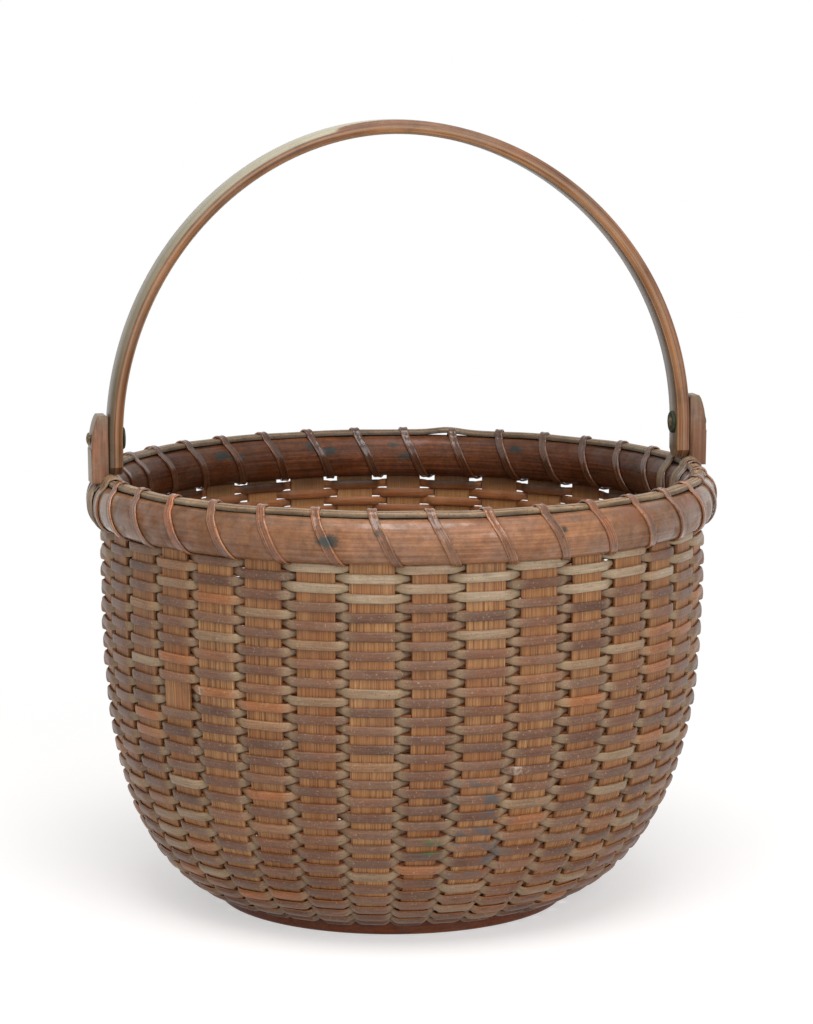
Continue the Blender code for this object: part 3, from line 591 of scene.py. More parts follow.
def make_weave_piece(number, cane):
    luck = random.Random(100 + number)
    bm = bmesh.new()
    arounds = [y * CANE_WIDTH / 2 + (INNER_FACE if z < 0 else 0.0) for y, z in CANE_SECTION]
    for course in range(number * COURSES_IN_A_PIECE, min((number + 1) * COURSES_IN_A_PIECE, COURSE_COUNT)):
        rings = []
        alongs = []
        tips = []
        tones = []
        usual = luck.choice((0.10, 0.20, 0.30, 0.40, 0.48, 0.52))
        floats = [(luck.uniform(-0.00018, 0.00022), luck.uniform(0.95, 1.03),
                   float_tone(course, course * STAVE_COUNT + place, usual, luck)) for place in range(STAVE_COUNT + 2)]
        stitches = [stave + share for stave in range(STAVE_COUNT) for share in STITCH_SHARES] + [STAVE_COUNT]
        for passed in stitches:
            stitch = course * STAVE_COUNT + passed
            nearest = math.floor(passed + 0.5)
            beyond = passed - nearest
            swell, broad, tone = floats[nearest]
            if (course * STAVE_COUNT + nearest) % 2 == 0 and abs(beyond) > TIP_COLOUR_START:
                tone = floats[nearest + (1 if beyond > 0.0 else -1)][2]
            matrix, outer, inner, tip = cane_point(stitch, swell)
            half = CANE_WIDTH / 2 * broad
            low = max(1.0 - stitch / STAVE_COUNT / COURSE_COUNT / LOW_COURSES_END, 0.0)
            shares = (outer, max(inner, 0.86) * (WEAVE_INNER_SPREAD + LOW_COURSE_SPREAD * low))
            rings.append([matrix @ Vector((0, y * half * shares[z < 0], z * CANE_THICKNESS / 2)) for y, z in CANE_SECTION])
            alongs.append(stitch * STAVE_PITCH * RIM_RADIUS)
            tips.append(tip)
            tones.append(tone)
        sweep(bm, rings, (alongs, arounds), tones, tips)
    bmesh.ops.recalc_face_normals(bm, faces=bm.faces)
    return place_piece(f"cane_courses_{number + 1}", bm, cane, 60.0)


woven_cane = make_cane()
for piece_number in range(math.ceil(COURSE_COUNT / COURSES_IN_A_PIECE)):
    courses = make_weave_piece(piece_number, woven_cane)
    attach(courses, "basket")
    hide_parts("cane_weave")


# Hoops: two half-round strips of wood steamed and bent round the stave ends, one outside and one
# inside. Each is shaved thin at its ends, which lap in a scarf. The outer one is cut away for the ears.
HOOP_TOP = 0.1748
HOOP_HEIGHT = 0.0178
HOOP_THICKNESS = 0.0059
HOOP_SEAT = 0.0012
HOOP_SIDES = 15
HOOP_STEPS = 200
SCARF_LENGTH = 0.0480
SCARF_THINNEST = 0.05
SCARF_GAP = 0.0002
OUTER_SCARF_ANGLE = math.radians(24.0)
INNER_SCARF_ANGLE = math.radians(-60.0)
OLD_INK = (0.020, 0.034, 0.034)
# A painted sheen colour for the band below the top of the hoops.
PAINTED_VIOLET_SHEEN = (0.235, 0.140, 0.108)
EAR_BREADTH = 0.0118
EAR_TAIL_DEPTH = 0.0034
EAR_ANGLES = (0.0, math.pi, math.tau, 3 * math.pi)


def half_round(cut_low, cut_high):
    """Points (height share, depth share) of a half-round section kept between two depths."""
    low = math.acos(min(max(cut_low, 0.0), 1.0))
    points = []
    for step in range(HOOP_SIDES):
        turn = low - 2 * low * step / (HOOP_SIDES - 1)
        points.append((math.sin(turn), min(math.cos(turn) ** 0.9 if math.cos(turn) > 0 else 0.0, cut_high)))
    return points + [(-math.sin(low) * 0.5, cut_low), (0.0, cut_low), (math.sin(low) * 0.5, cut_low)]


def hoop_rings(side, scarf_angle):
    """Rings, distances along and section distances of a hoop that laps itself at its scarf."""
    scarf = SCARF_LENGTH / RIM_RADIUS
    notch = (EAR_BREADTH / 2 + FIT_GAP) / RIM_RADIUS
    angles = [scarf_angle + (math.tau + scarf) * step / HOOP_STEPS for step in range(HOOP_STEPS + 1)]
    if side > 0:
        for ear in EAR_ANGLES:
            angles += [ear - notch - 0.0005, ear - notch, ear + notch, ear + notch + 0.0005]
    angles = sorted(angle for angle in angles if scarf_angle <= angle <= scarf_angle + math.tau + scarf)
    rings = []
    for angle in angles:
        start = (angle - scarf_angle) / scarf
        finish = (scarf_angle + math.tau + scarf - angle) / scarf
        low = 0.0
        if side > 0 and any(abs(angle - ear) <= notch + 0.0001 for ear in EAR_ANGLES):
            low = EAR_TAIL_DEPTH / HOOP_THICKNESS
        high = max(start, SCARF_THINNEST) if start < 1.0 else 1.5
        if finish < 1.0:
            low = max(low, 1.0 - finish + SCARF_THINNEST)
        height = HOOP_HEIGHT * (1.0 + 0.012 * math.sin(angle * 5 + side) + 0.008 * math.sin(angle * 11))
        matrix = rim_frame(angle, RIM_RADIUS, HOOP_TOP - HOOP_HEIGHT / 2)
        reach = HOOP_SEAT + (SCARF_GAP if finish < 1.0 else 0.0)
        rings.append([matrix @ Vector((0, y * height / 2, side * (reach + z * HOOP_THICKNESS)))
                      for y, z in half_round(min(low, 0.93), high)])
    alongs = [angle * RIM_RADIUS for angle in angles]
    arounds = [y * HOOP_HEIGHT / 2 for y, _ in half_round(0.0, 1.5)]
    return rings, alongs, arounds


def stained(tree, tone, solid, spots):
    """Old stains with ragged edges over a colour; spots are (place, radius, colour)."""
    for place, radius, colour in spots:
        away = wire(tree, "ShaderNodeVectorMath", {"operation": "SUBTRACT"}, i0=solid, i1=place).outputs[0]
        away = wire(tree, "ShaderNodeVectorMath", {"operation": "MULTIPLY"}, i0=away, i1=(1.0, 1.0, 2.1)).outputs[0]
        offset = wire(tree, "ShaderNodeVectorMath", {"operation": "LENGTH"}, i0=away).outputs["Value"]
        rag = maths(tree, "MULTIPLY", noise(tree, solid, 420.0, 4.0), radius * 1.3)
        near = maths(tree, "DIVIDE", maths(tree, "ADD", offset, rag), radius * 1.65)
        tone = mix(tree, ramp(tree, near, (0.62, 0.90), (0.92, 0.0)), tone, colour)
    return tone


def make_hoop_wood(name, dark, middle, light, roughness, coat, stain_spots, dust, sheen_and_ear_dust, lean):
    """Bent wood with long grain, a painted sheen and highlight line along its top, painted shade towards the ears, and
    dust by the ears.
    """
    material, tree, shader = new_material(name, roughness, coat)
    held = wire(tree, "ShaderNodeAttribute", {"attribute_name": "grain"}).outputs["Vector"]
    solid = wire(tree, "ShaderNodeTexCoord").outputs["Object"]
    grain = use_group(tree, WOOD_GRAIN, Vector=held, Streaks=900.0, Length=18.0, Pores=0.7, Bands=45.0)
    tone = ramp(tree, grain.outputs["Grain"], (0.25, dark), (0.5, middle), (0.75, light))
    bands = ramp(tree, grain.outputs["Bands"], (0.35, 0.82), (0.65, 1.15))
    tone = mix(tree, 1.0, tone, bands, "MULTIPLY")
    parts = wire(tree, "ShaderNodeSeparateXYZ", i0=held)
    across = maths(tree, "DIVIDE", parts.outputs[1], HOOP_HEIGHT / 2)
    # Painted light along the top: a violet sheen band just below it and a highlight line on its edge.
    tone = mix(tree, ramp(tree, across, (0.50, 0.0), (0.76, sheen_and_ear_dust), (0.90, 0.0)), tone, PAINTED_VIOLET_SHEEN)
    tone = mix(tree, ramp(tree, across, (0.93, 0.0), (0.985, sheen_and_ear_dust)), tone, (0.330, 0.225, 0.145))
    # Painted shade: the hoop darkens towards the ears, where it turns away from the light; lean shifts the middle of
    # this shade sideways.
    sideways = wire(tree, "ShaderNodeSeparateXYZ", i0=solid).outputs[0]
    aside = maths(tree, "ABSOLUTE", maths(tree, "SUBTRACT", sideways, RIM_SHIFT + lean))
    aside = maths(tree, "DIVIDE", aside, RIM_RADIUS)
    tone = mix(tree, 1.0, tone, ramp(tree, aside, (0.20, (1.0, 1.0, 1.0)), (0.70, (0.57, 0.53, 0.44)),
                                     (0.92, (0.55, 0.45, 0.28))), "MULTIPLY")
    mottle = ramp(tree, noise(tree, solid, 240.0, 5.0, 0.7), (0.34, 0.74), (0.66, 1.24))
    tone = mix(tree, 1.0, tone, mottle, "MULTIPLY")
    pits = noise(tree, solid, 1500.0, 3.0, 0.6)
    tone = mix(tree, ramp(tree, pits, (0.62, 0.0), (0.70, 0.35)), tone, light)
    tone = mix(tree, ramp(tree, pits, (0.31, 0.50), (0.39, 0.0)), tone, dark)
    tone = mix(tree, ramp(tree, aside, (0.93, 0.0), (1.0, sheen_and_ear_dust)), tone, (0.230, 0.165, 0.100))
    tone = mix(tree, maths(tree, "MULTIPLY", grain.outputs["Pores"], 0.45), tone, dark)
    tone = stained(tree, tone, solid, stain_spots)
    aged = use_group(tree, DUST_AND_GRIME, Color=tone, Vector=solid, Dust=dust, Grime=0.25, Patch=55.0)
    tree.links.new(aged.outputs["Color"], shader.inputs["Base Color"])
    rough = maths(tree, "ADD", roughness, maths(tree, "MULTIPLY", aged.outputs["Dust"], 0.35))
    tree.links.new(rough, shader.inputs["Roughness"])
    varnish = ramp(tree, noise(tree, solid, 75.0, 4.0, 0.6), (0.47, 0.15), (0.58, 1.0))
    tree.links.new(maths(tree, "MULTIPLY", varnish, coat), shader.inputs["Coat Weight"])
    shader.inputs["Coat Roughness"].default_value = 0.12
    shader.inputs["Specular IOR Level"].default_value = 0.16
    dents = maths(tree, "MULTIPLY", noise(tree, solid, 330.0, 4.0), 1.6)
    bump(tree, shader, maths(tree, "ADD", grain.outputs["Grain"], dents), 0.45, 0.0005)
    return material


def rim_place(angle_degrees, radius, height):
    """A place on the rim for a stain."""
    turn = math.radians(angle_degrees)
    return (RIM_SHIFT + radius * math.cos(turn), radius * math.sin(turn), height)


def make_hoop(name, side, scarf_angle, wood):
    rings, alongs, arounds = hoop_rings(side, scarf_angle)
    bm = bmesh.new()
    sweep(bm, rings, (alongs, arounds))
    bmesh.ops.recalc_face_normals(bm, faces=bm.faces)
    return place_piece(name, bm, wood)


outer_wood = make_hoop_wood("outer_hoop_wood", (0.187, 0.072, 0.033), (0.335, 0.150, 0.072), (0.450, 0.226, 0.120),
                            0.40, 0.75, [(rim_place(-115.5, 0.1278, 0.1665), 0.0072, OLD_INK),
                                         (rim_place(-75.0, 0.1278, 0.1690), 0.0042, OLD_INK),
                                         (rim_place(-58.0, 0.1278, 0.1722), 0.0150, (0.190, 0.062, 0.020)),
                                         (rim_place(-40.0, 0.1278, 0.1722), 0.0120, (0.170, 0.056, 0.019))], 0.20, 0.42, -0.006)
outer_hoop = make_hoop("outer_hoop", 1, OUTER_SCARF_ANGLE, outer_wood)
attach(outer_hoop, "basket")
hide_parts("outer_rim_hoop")

inner_wood = make_hoop_wood("inner_hoop_wood", (0.040, 0.010, 0.004), (0.122, 0.036, 0.012), (0.218, 0.074, 0.026),
                            0.42, 0.25, [(rim_place(120.0, 0.1140, 0.1705), 0.0060, OLD_INK),
                                         (rim_place(116.0, 0.1140, 0.1690), 0.0060, OLD_INK),
                                         (rim_place(97.5, 0.1140, 0.1715), 0.0045, OLD_INK),
                                         (rim_place(93.5, 0.1140, 0.1690), 0.0060, OLD_INK),
                                         (rim_place(79.0, 0.1140, 0.1715), 0.0036, OLD_INK),
                                         (rim_place(76.5, 0.1140, 0.1665), 0.0045, OLD_INK),
                                         (rim_place(51.5, 0.1140, 0.1710), 0.0052, OLD_INK)], 0.12, 0.12, 0.018)
inner_hoop = make_hoop("inner_hoop", -1, INNER_SCARF_ANGLE, inner_wood)
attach(inner_hoop, "basket")
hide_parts("inner_rim_hoop")


# Cover strand: a split of pale cane laid along the top of the rim over the stave ends, held down by
# the lashing. It is thinned where it passes the ears, and has sprung up a little in one place at the back.
COVER_WIDTH = 0.0056
COVER_THICKNESS = 0.0024
COVER_STEPS = 360
COVER_START = math.radians(4.4)
COVER_JOINT = math.radians(0.4)
SPRUNG_ANGLE = math.radians(67.5)
SPRUNG_RISE = 0.0010
SPRUNG_REACH = math.radians(3.4)
COVER_SECTION = ((-1.0, 0.15), (-0.93, 0.62), (-0.62, 0.93), (-0.30, 0.97), (0.0, 0.90), (0.30, 0.99), (0.62, 0.93),
                 (0.93, 0.60), (1.0, 0.12), (0.6, 0.0), (0.0, 0.04), (-0.6, 0.0))


def make_dry_cane(name, dark, middle, light, dust, coat, spots, half, *across):
    """Bare split cane: long streaks, dust, dark flecks, and light or dark lines at shares of its half width."""
    material, tree, shader = new_material(name, 0.5 - coat * 0.4, coat)
    shader.inputs["Coat Roughness"].default_value = 0.32 - coat * 0.3
    held = wire(tree, "ShaderNodeAttribute", {"attribute_name": "grain"}).outputs["Vector"]
    solid = wire(tree, "ShaderNodeTexCoord").outputs["Object"]
    grain = use_group(tree, WOOD_GRAIN, Vector=held, Streaks=2200.0, Length=45.0, Pores=1.0, Bands=120.0)
    tone = ramp(tree, grain.outputs["Grain"], (0.28, dark), (0.5, middle), (0.72, light))
    tone = mix(tree, 1.0, tone, ramp(tree, grain.outputs["Bands"], (0.3, 0.72), (0.7, 1.2)), "MULTIPLY")
    fleck = ramp(tree, noise(tree, solid, 900.0, 3.0, 0.7), (0.56, 0.0), (0.66, 0.8))
    tone = mix(tree, fleck, tone, dark)
    parts = wire(tree, "ShaderNodeSeparateXYZ", i0=held)
    side = maths(tree, "DIVIDE", maths(tree, "ABSOLUTE", parts.outputs[1]), half)
    turns = ramp(tree, parts.outputs[2], (0.0, (0.38, 0.33, 0.30)), (0.25, (0.50, 0.42, 0.38)),
                 (0.35, (0.80, 0.86, 0.92)), (0.5, (1.0, 1.0, 1.0)), (0.8, (1.10, 1.0, 0.88)), (1.0, (1.75, 1.25, 0.72)))
    tone = mix(tree, 1.0, tone, turns, "MULTIPLY")
    tone = stained(tree, mix(tree, 1.0, tone, ramp(tree, side, *across), "MULTIPLY"), solid, spots)
    aged = use_group(tree, DUST_AND_GRIME, Color=tone, Vector=solid, Dust=dust, Grime=0.35, Patch=90.0)
    tree.links.new(aged.outputs["Color"], shader.inputs["Base Color"])
    bump(tree, shader, grain.outputs["Grain"], 0.5, 0.0003)
    return material


def make_cover(wood):
    notch = (EAR_BREADTH / 2 + FIT_GAP) / RIM_RADIUS
    span = math.tau - COVER_JOINT
    angles = [COVER_START + span * step / COVER_STEPS for step in range(COVER_STEPS + 1)]
    for ear in EAR_ANGLES:
        angles += [ear - notch - 0.0005, ear - notch, ear + notch, ear + notch + 0.0005]
    angles = sorted(angle for angle in angles if COVER_START <= angle <= COVER_START + span)
    rings = []
    for angle in angles:
        beside_ear = any(abs(angle - ear) <= notch + 0.0001 for ear in EAR_ANGLES)
        outer_limit = 0.0003 if beside_ear else COVER_WIDTH
        sprung = math.exp(-((angle - SPRUNG_ANGLE) / SPRUNG_REACH) ** 2) * SPRUNG_RISE
        drift = 0.00025 * math.sin(angle * 7.0) + 0.00015 * math.sin(angle * 23.0)
        drift = 0.0 if beside_ear else drift
        rise = 0.00012 * math.sin(angle * 17.0) + sprung
        matrix = rim_frame(angle, RIM_RADIUS, HOOP_TOP + FIT_GAP / 2 + rise)
        rings.append([matrix @ Vector((0, y * COVER_THICKNESS, min(x * COVER_WIDTH / 2 + drift, outer_limit)))
                      for x, y in COVER_SECTION])
    alongs = [angle * RIM_RADIUS for angle in angles]
    arounds = [x * COVER_WIDTH / 2 for x, _ in COVER_SECTION]
    tones = [0.5 - 0.2 * min(max(2.0 * math.sin(angle), 0.0), 1.0) for angle in angles]
    bm = bmesh.new()
    sweep(bm, rings, (alongs, arounds), tones)
    bmesh.ops.recalc_face_normals(bm, faces=bm.faces)
    return place_piece("cover_strand", bm, wood)


# The stops across the cover paint a highlight along its middle, a thin shadow line on each side as of a gap between
# two strips, and shade at its outer edges.
cover_strand = make_cover(make_dry_cane(
    "pale_cover_cane", (0.105, 0.055, 0.028), (0.310, 0.195, 0.108), (0.500, 0.370, 0.230), 0.20, 0.05, (),
    COVER_WIDTH / 2, (0.0, 1.20), (0.48, 1.10), (0.58, 0.40), (0.64, 0.40), (0.72, 1.05), (0.90, 0.90), (0.98, 0.3)))
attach(cover_strand, "basket")
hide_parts("rim_cover_strand")


# Lashing: one thin flat strand of cane wound over the rim, once in each gap between the staves and
# twice beside the ears. It binds hoops, stave ends and cover, and its ends are tucked under itself.
LASHING_WIDTH = 0.0036
LASHING_THICKNESS = 0.0009
LASHING_SLACK = 0.00005
LASHING_PAIR_SPACING = 0.0038
LASHING_TOP_SPACING = 0.0038
LASHING_BOTTOM_REACH = 0.0018
LASHING_ADVANCE_SHARES = (0.0, 0.03, 0.07, 0.11, 0.23, 0.41, 0.575, 0.73, 0.87, 0.95)
LASHING_SUBSTEPS = 3
LASHING_TURN_TONES = {3: 0.90, 5: 0.80, 11: 0.86}
LASHING_SECTION = ((-1.0, -0.5), (-0.95, 0.55), (-0.72, 0.98), (-0.35, 0.72), (0.0, 0.62), (0.35, 0.72), (0.72, 0.98),
                   (0.95, 0.55), (1.0, -0.5), (0.5, -0.8), (-0.5, -0.8))
COVER_SECTION_DEGREES = (50.0, 12.0)
HOOP_SECTION_DEGREES = (66.0, 40.0, 15.0, -10.0, -35.0, -60.0)


def rim_stations(lift):
    """(reach, height, outward direction) of a strand on the rim, from its top to under the hoop."""
    top = HOOP_TOP + FIT_GAP
    stations = [(0.0, top + COVER_THICKNESS + lift, (0.0, 1.0))]
    for degrees in COVER_SECTION_DEGREES:
        turn = math.radians(degrees)
        stations.append(((COVER_WIDTH / 2 + lift) * math.cos(turn), top + (COVER_THICKNESS + lift) * math.sin(turn),
                         (math.cos(turn), math.sin(turn))))
    for degrees in HOOP_SECTION_DEGREES:
        turn = math.radians(degrees)
        out = Vector((math.cos(turn) / HOOP_THICKNESS, math.sin(turn) / (HOOP_HEIGHT / 2))).normalized()
        stations.append((HOOP_SEAT + HOOP_THICKNESS * math.cos(turn) + lift * out.x,
                         HOOP_TOP - HOOP_HEIGHT / 2 + HOOP_HEIGHT / 2 * math.sin(turn) + lift * out.y, (out.x, out.y)))
    stations.append((LASHING_BOTTOM_REACH, HOOP_TOP - HOOP_HEIGHT - lift, (0.0, -1.0)))
    return stations


def on_rim(angle, side, station):
    """Point and outward direction of a station of the rim's section at an angle."""
    reach, height, (out, up) = station
    matrix = rim_frame(angle, RIM_RADIUS + side * reach, height)
    return matrix.translation, (matrix.to_3x3() @ Vector((0, up, side * out)))


def smooth_route(route, substeps):
    """Catmull-Rom curve through (point, direction) pairs."""
    smooth = []
    for place in range(len(route) - 1):
        four = [route[min(max(place + shift, 0), len(route) - 1)] for shift in (-1, 0, 1, 2)]
        for step in range(substeps):
            t = step / substeps
            weights = ((-t + 2 * t * t - t ** 3) / 2, (2 - 5 * t * t + 3 * t ** 3) / 2,
                       (t + 4 * t * t - 3 * t ** 3) / 2, (t ** 3 - t * t) / 2)
            point = sum((pair[0] * weight for pair, weight in zip(four, weights)), Vector())
            smooth.append((point, four[1][1].lerp(four[2][1], t)))
    smooth.append(route[-1])
    return smooth


def strand_rings(route, width, thickness, section):
    """Rings of a flat strand along (point, direction) pairs, and the distances along it."""
    rings = []
    alongs = [0.0]
    for place, (point, out) in enumerate(route):
        before = route[max(place - 1, 0)][0]
        after = route[min(place + 1, len(route) - 1)][0]
        along = (after - before).normalized()
        across = along.cross(out).normalized()
        normal = across.cross(along)
        if place:
            alongs.append(alongs[-1] + (point - before).length)
        rings.append([point + across * (x * width / 2) + normal * (y * thickness / 2) for x, y in section])
    return rings, alongs


def lashing_crossings():
    """Angles at which the strand passes under the rim and over it, in order round the basket."""
    pair_turn = LASHING_PAIR_SPACING / 2 / RIM_RADIUS
    bottoms = []
    for index in range(STAVE_COUNT):
        gap = math.pi + STAVE_PHASE + (index + 0.5) * STAVE_PITCH
        beside_ear = any(abs(gap - ear) < STAVE_PITCH * 0.75 for ear in EAR_ANGLES)
        bottoms += [gap - pair_turn, gap + pair_turn] if beside_ear else [gap]
    ear_clear = (EAR_BREADTH / 2 + LASHING_WIDTH + FIT_GAP * 2) / RIM_RADIUS
    spacing = LASHING_TOP_SPACING / RIM_RADIUS
    tops = [(before + after) / 2 for before, after in zip(bottoms, bottoms[1:])]
    for place in reversed(range(len(tops))):
        for ear in (math.pi, math.tau):
            if abs(tops[place] - ear) < ear_clear:
                tops[place] = ear - ear_clear
        if place + 1 < len(tops):
            tops[place] = min(tops[place], tops[place + 1] - spacing)
    return bottoms, tops


def make_lashing(cane):
    stations = rim_stations(LASHING_SLACK + LASHING_THICKNESS / 2)
    bottoms, tops = lashing_crossings()
    rising = list(zip(LASHING_ADVANCE_SHARES, stations))[1:]
    luck = random.Random(8)
    route = []
    tones = []
    for place, top in enumerate(tops):
        before = bottoms[place]
        after = bottoms[place + 1]
        route += [on_rim(top + (before - top) * share, -1, station) for share, station in reversed(rising)]
        route.append(on_rim(top, 1, stations[0]))
        route += [on_rim(top + (after - top) * share, 1, station) for share, station in rising]
        tones += [luck.uniform(0.05, 0.25)] * len(rising)
        tones += [LASHING_TURN_TONES.get(place, luck.uniform(0.36, 0.82))] * (len(rising) + 1)
    route = smooth_route(route, LASHING_SUBSTEPS)
    tones = [tones[min(place // LASHING_SUBSTEPS, len(tones) - 1)] for place in range(len(route))]
    rings, alongs = strand_rings(route, LASHING_WIDTH, LASHING_THICKNESS, LASHING_SECTION)
    bm = bmesh.new()
    sweep(bm, rings, (alongs, [x * LASHING_WIDTH / 2 for x, _ in LASHING_SECTION]), tones)
    bmesh.ops.recalc_face_normals(bm, faces=bm.faces)
    return place_piece("rim_binding", bm, cane, 60.0)


lashing_cane = make_dry_cane(
    "lashing_cane", (0.055, 0.022, 0.014), (0.230, 0.090, 0.037), (0.450, 0.200, 0.080), 0.12, 0.6,
    [(rim_place(-115.5, 0.1290, 0.1665), 0.0072, OLD_INK), (rim_place(-107.5, 0.1290, 0.1695), 0.0045, OLD_INK)],
    LASHING_WIDTH / 2, (0.0, 0.80), (0.50, 0.85), (0.64, 0.60), (0.80, 1.35), (0.98, 1.10))
lashing = make_lashing(lashing_cane)
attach(lashing, "basket")
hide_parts("rim_lashing")


# Ear bindings: extra turns of dusty cane that cross below each ear and hold its foot against the hoop.
BINDING_WIDTH = 0.0036
BINDING_THICKNESS = 0.0008
BINDING_SUBSTEPS = 3
BINDINGS = ((8.0, -7.0, 0.0009), (-8.0, 7.0, 0.0011), (10.6, -3.0, 0.0007), (-10.6, 3.5, 0.0008),
            (8.2, 8.6, 0.0005), (-8.4, -9.5, 0.0005), (11.5, 10.5, 0.0005), (-11.5, -11.0, 0.0005))


def make_bindings(name, ear_angle, mirror, cane):
    bm = bmesh.new()
    for top, bottom, lift in BINDINGS:
        stations = rim_stations(lift)
        high = ear_angle + mirror * top / 1000 / RIM_RADIUS
        low = ear_angle + mirror * bottom / 1000 / RIM_RADIUS
        shares = [math.sin(math.pi / 2 * place / (len(stations) - 1)) for place in range(len(stations))]
        down = [on_rim(high + (low - high) * share, 1, station) for share, station in zip(shares, stations)]
        inside = [on_rim(high, -1, station) for station in reversed(stations[1:])]
        under = [on_rim(low, 0, stations[-1])]
        route = smooth_route(inside + down + under, BINDING_SUBSTEPS)
        rings, alongs = strand_rings(route, BINDING_WIDTH, BINDING_THICKNESS, LASHING_SECTION)
        sweep(bm, rings, (alongs, [x * BINDING_WIDTH / 2 for x, _ in LASHING_SECTION]))
    bmesh.ops.recalc_face_normals(bm, faces=bm.faces)
    return place_piece(name, bm, cane, 60.0)


binding_cane = make_dry_cane(
    "dusty_binding_cane", (0.085, 0.050, 0.030), (0.225, 0.140, 0.078), (0.350, 0.245, 0.150), 0.45, 0.1, (),
    BINDING_WIDTH / 2, (0.0, 0.95), (0.62, 0.85), (0.80, 1.30), (0.98, 1.05))
for side_name, ear_angle, mirror in (("left", math.pi, 1), ("right", math.tau, 1)):
    binding = make_bindings(f"{side_name}_ear_binding", ear_angle, mirror, binding_cane)
    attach(binding, "basket")


# Ears: two uprights whittled from hardwood, flat towards the handle and rounded off outside. A tail
# on each goes down behind the outer hoop, where the bindings hold it.
EAR_INNER = 0.1215
EAR_THICKNESS = 0.0069
EAR_TOP_THICKNESS = 0.0040
EAR_SEAT = 0.1751
EAR_TOP = 0.2040
EAR_CURVE_HEIGHT = 0.0150
LEFT_EAR_DROP = 0.0016
EAR_TAIL_INNER = 0.1221
EAR_TAIL_OUTER = 0.1251
EAR_TAIL_END = 0.1585
EAR_EDGE = 0.0008
WEATHERED_GREY = (0.165, 0.115, 0.070)
EAR_TOP_BREADTH_SHARE = 0.86


def make_whittled_wood(name, turn, dark, middle, light, dust):
    """Hardwood with its grain along the Z of the object once turned, greyed but on its two cut sides."""
    material, tree, shader = new_material(name, 0.42, 0.15)
    solid = wire(tree, "ShaderNodeTexCoord").outputs["Object"]
    place = wire(tree, "ShaderNodeMapping", Vector=solid, Rotation=turn).outputs[0]
    grain = use_group(tree, WOOD_GRAIN, Vector=place, Streaks=950.0, Length=22.0, Pores=0.9, Bands=60.0)
    tone = ramp(tree, grain.outputs["Grain"], (0.25, dark), (0.5, middle), (0.75, light))
    tone = mix(tree, 1.0, tone, ramp(tree, grain.outputs["Bands"], (0.35, 0.8), (0.65, 1.2)), "MULTIPLY")
    tone = mix(tree, maths(tree, "MULTIPLY", grain.outputs["Pores"], 0.6), tone, dark)
    parts = wire(tree, "ShaderNodeSeparateXYZ", i0=solid)
    greyed = ramp(tree, maths(tree, "DIVIDE", maths(tree, "ABSOLUTE", parts.outputs[1]), EAR_BREADTH / 2),
                  (0.78, 0.75), (0.90, 0.0))
    high = maths(tree, "DIVIDE", maths(tree, "SUBTRACT", parts.outputs[2], EAR_SEAT), EAR_TOP - EAR_SEAT)
    greyed = maths(tree, "MAXIMUM", greyed, ramp(tree, high, (0.80, 0.0), (0.97, 0.7)))
    tone = mix(tree, greyed, tone, WEATHERED_GREY)
    aged = use_group(tree, DUST_AND_GRIME, Color=tone, Vector=solid, Dust=dust, Grime=0.35, Patch=70.0)
    tree.links.new(aged.outputs["Color"], shader.inputs["Base Color"])
    bump(tree, shader, grain.outputs["Grain"], 0.4, 0.0003)
    return material


def make_ear(name, side, ear_top, wood):
    curve = []
    for step in range(7):
        turn = math.radians(90.0 * step / 6)
        curve.append((EAR_INNER + EAR_TOP_THICKNESS + (EAR_THICKNESS - EAR_TOP_THICKNESS) * math.sin(turn),
                      ear_top - EAR_CURVE_HEIGHT * (step / 6) ** 1.4))
    outline = [(EAR_TAIL_INNER, EAR_SEAT), (EAR_INNER, EAR_SEAT), (EAR_INNER, ear_top - EAR_EDGE),
               (EAR_INNER + EAR_EDGE, ear_top)]
    outline += curve
    outline += [(EAR_INNER + EAR_THICKNESS + 0.0002, (ear_top + EAR_SEAT) / 2), (EAR_INNER + EAR_THICKNESS, EAR_SEAT),
                (EAR_TAIL_OUTER, EAR_SEAT), (EAR_TAIL_OUTER, EAR_TAIL_END), (EAR_TAIL_INNER, EAR_TAIL_END)]
    bm = bmesh.new()
    face = bm.faces.new([bm.verts.new((RIM_SHIFT + side * x, -EAR_BREADTH / 2, z)) for x, z in outline])
    grown = bmesh.ops.extrude_face_region(bm, geom=[face])["geom"]
    moved = [item for item in grown if isinstance(item, bmesh.types.BMVert)]
    bmesh.ops.translate(bm, verts=moved, vec=(0, EAR_BREADTH, 0))
    rims = [edge for edge in bm.edges if abs(edge.verts[0].co.y - edge.verts[1].co.y) < 0.0001]
    bmesh.ops.bevel(bm, geom=rims, offset=EAR_EDGE * 0.8, affect="EDGES", segments=3, profile=0.5, material=-1)
    for vert in bm.verts:
        rise = min(max((vert.co.z - EAR_SEAT) / (ear_top - EAR_SEAT), 0.0), 1.0)
        vert.co.y *= 1.0 - (1.0 - EAR_TOP_BREADTH_SHARE) * rise ** 2
    bmesh.ops.recalc_face_normals(bm, faces=bm.faces)
    return place_piece(name, bm, wood, 35.0)


ear_wood = make_whittled_wood("ear_hardwood", (0.0, math.pi / 2, 0.0), (0.085, 0.034, 0.018), (0.205, 0.088, 0.045),
                              (0.310, 0.150, 0.080), 0.35)
for side_name, side, ear_top in (("left", -1, EAR_TOP - LEFT_EAR_DROP), ("right", 1, EAR_TOP)):
    ear = make_ear(f"{side_name}_upright", side, ear_top, ear_wood)
    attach(ear, "basket")
    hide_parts(f"{side_name}_ear")


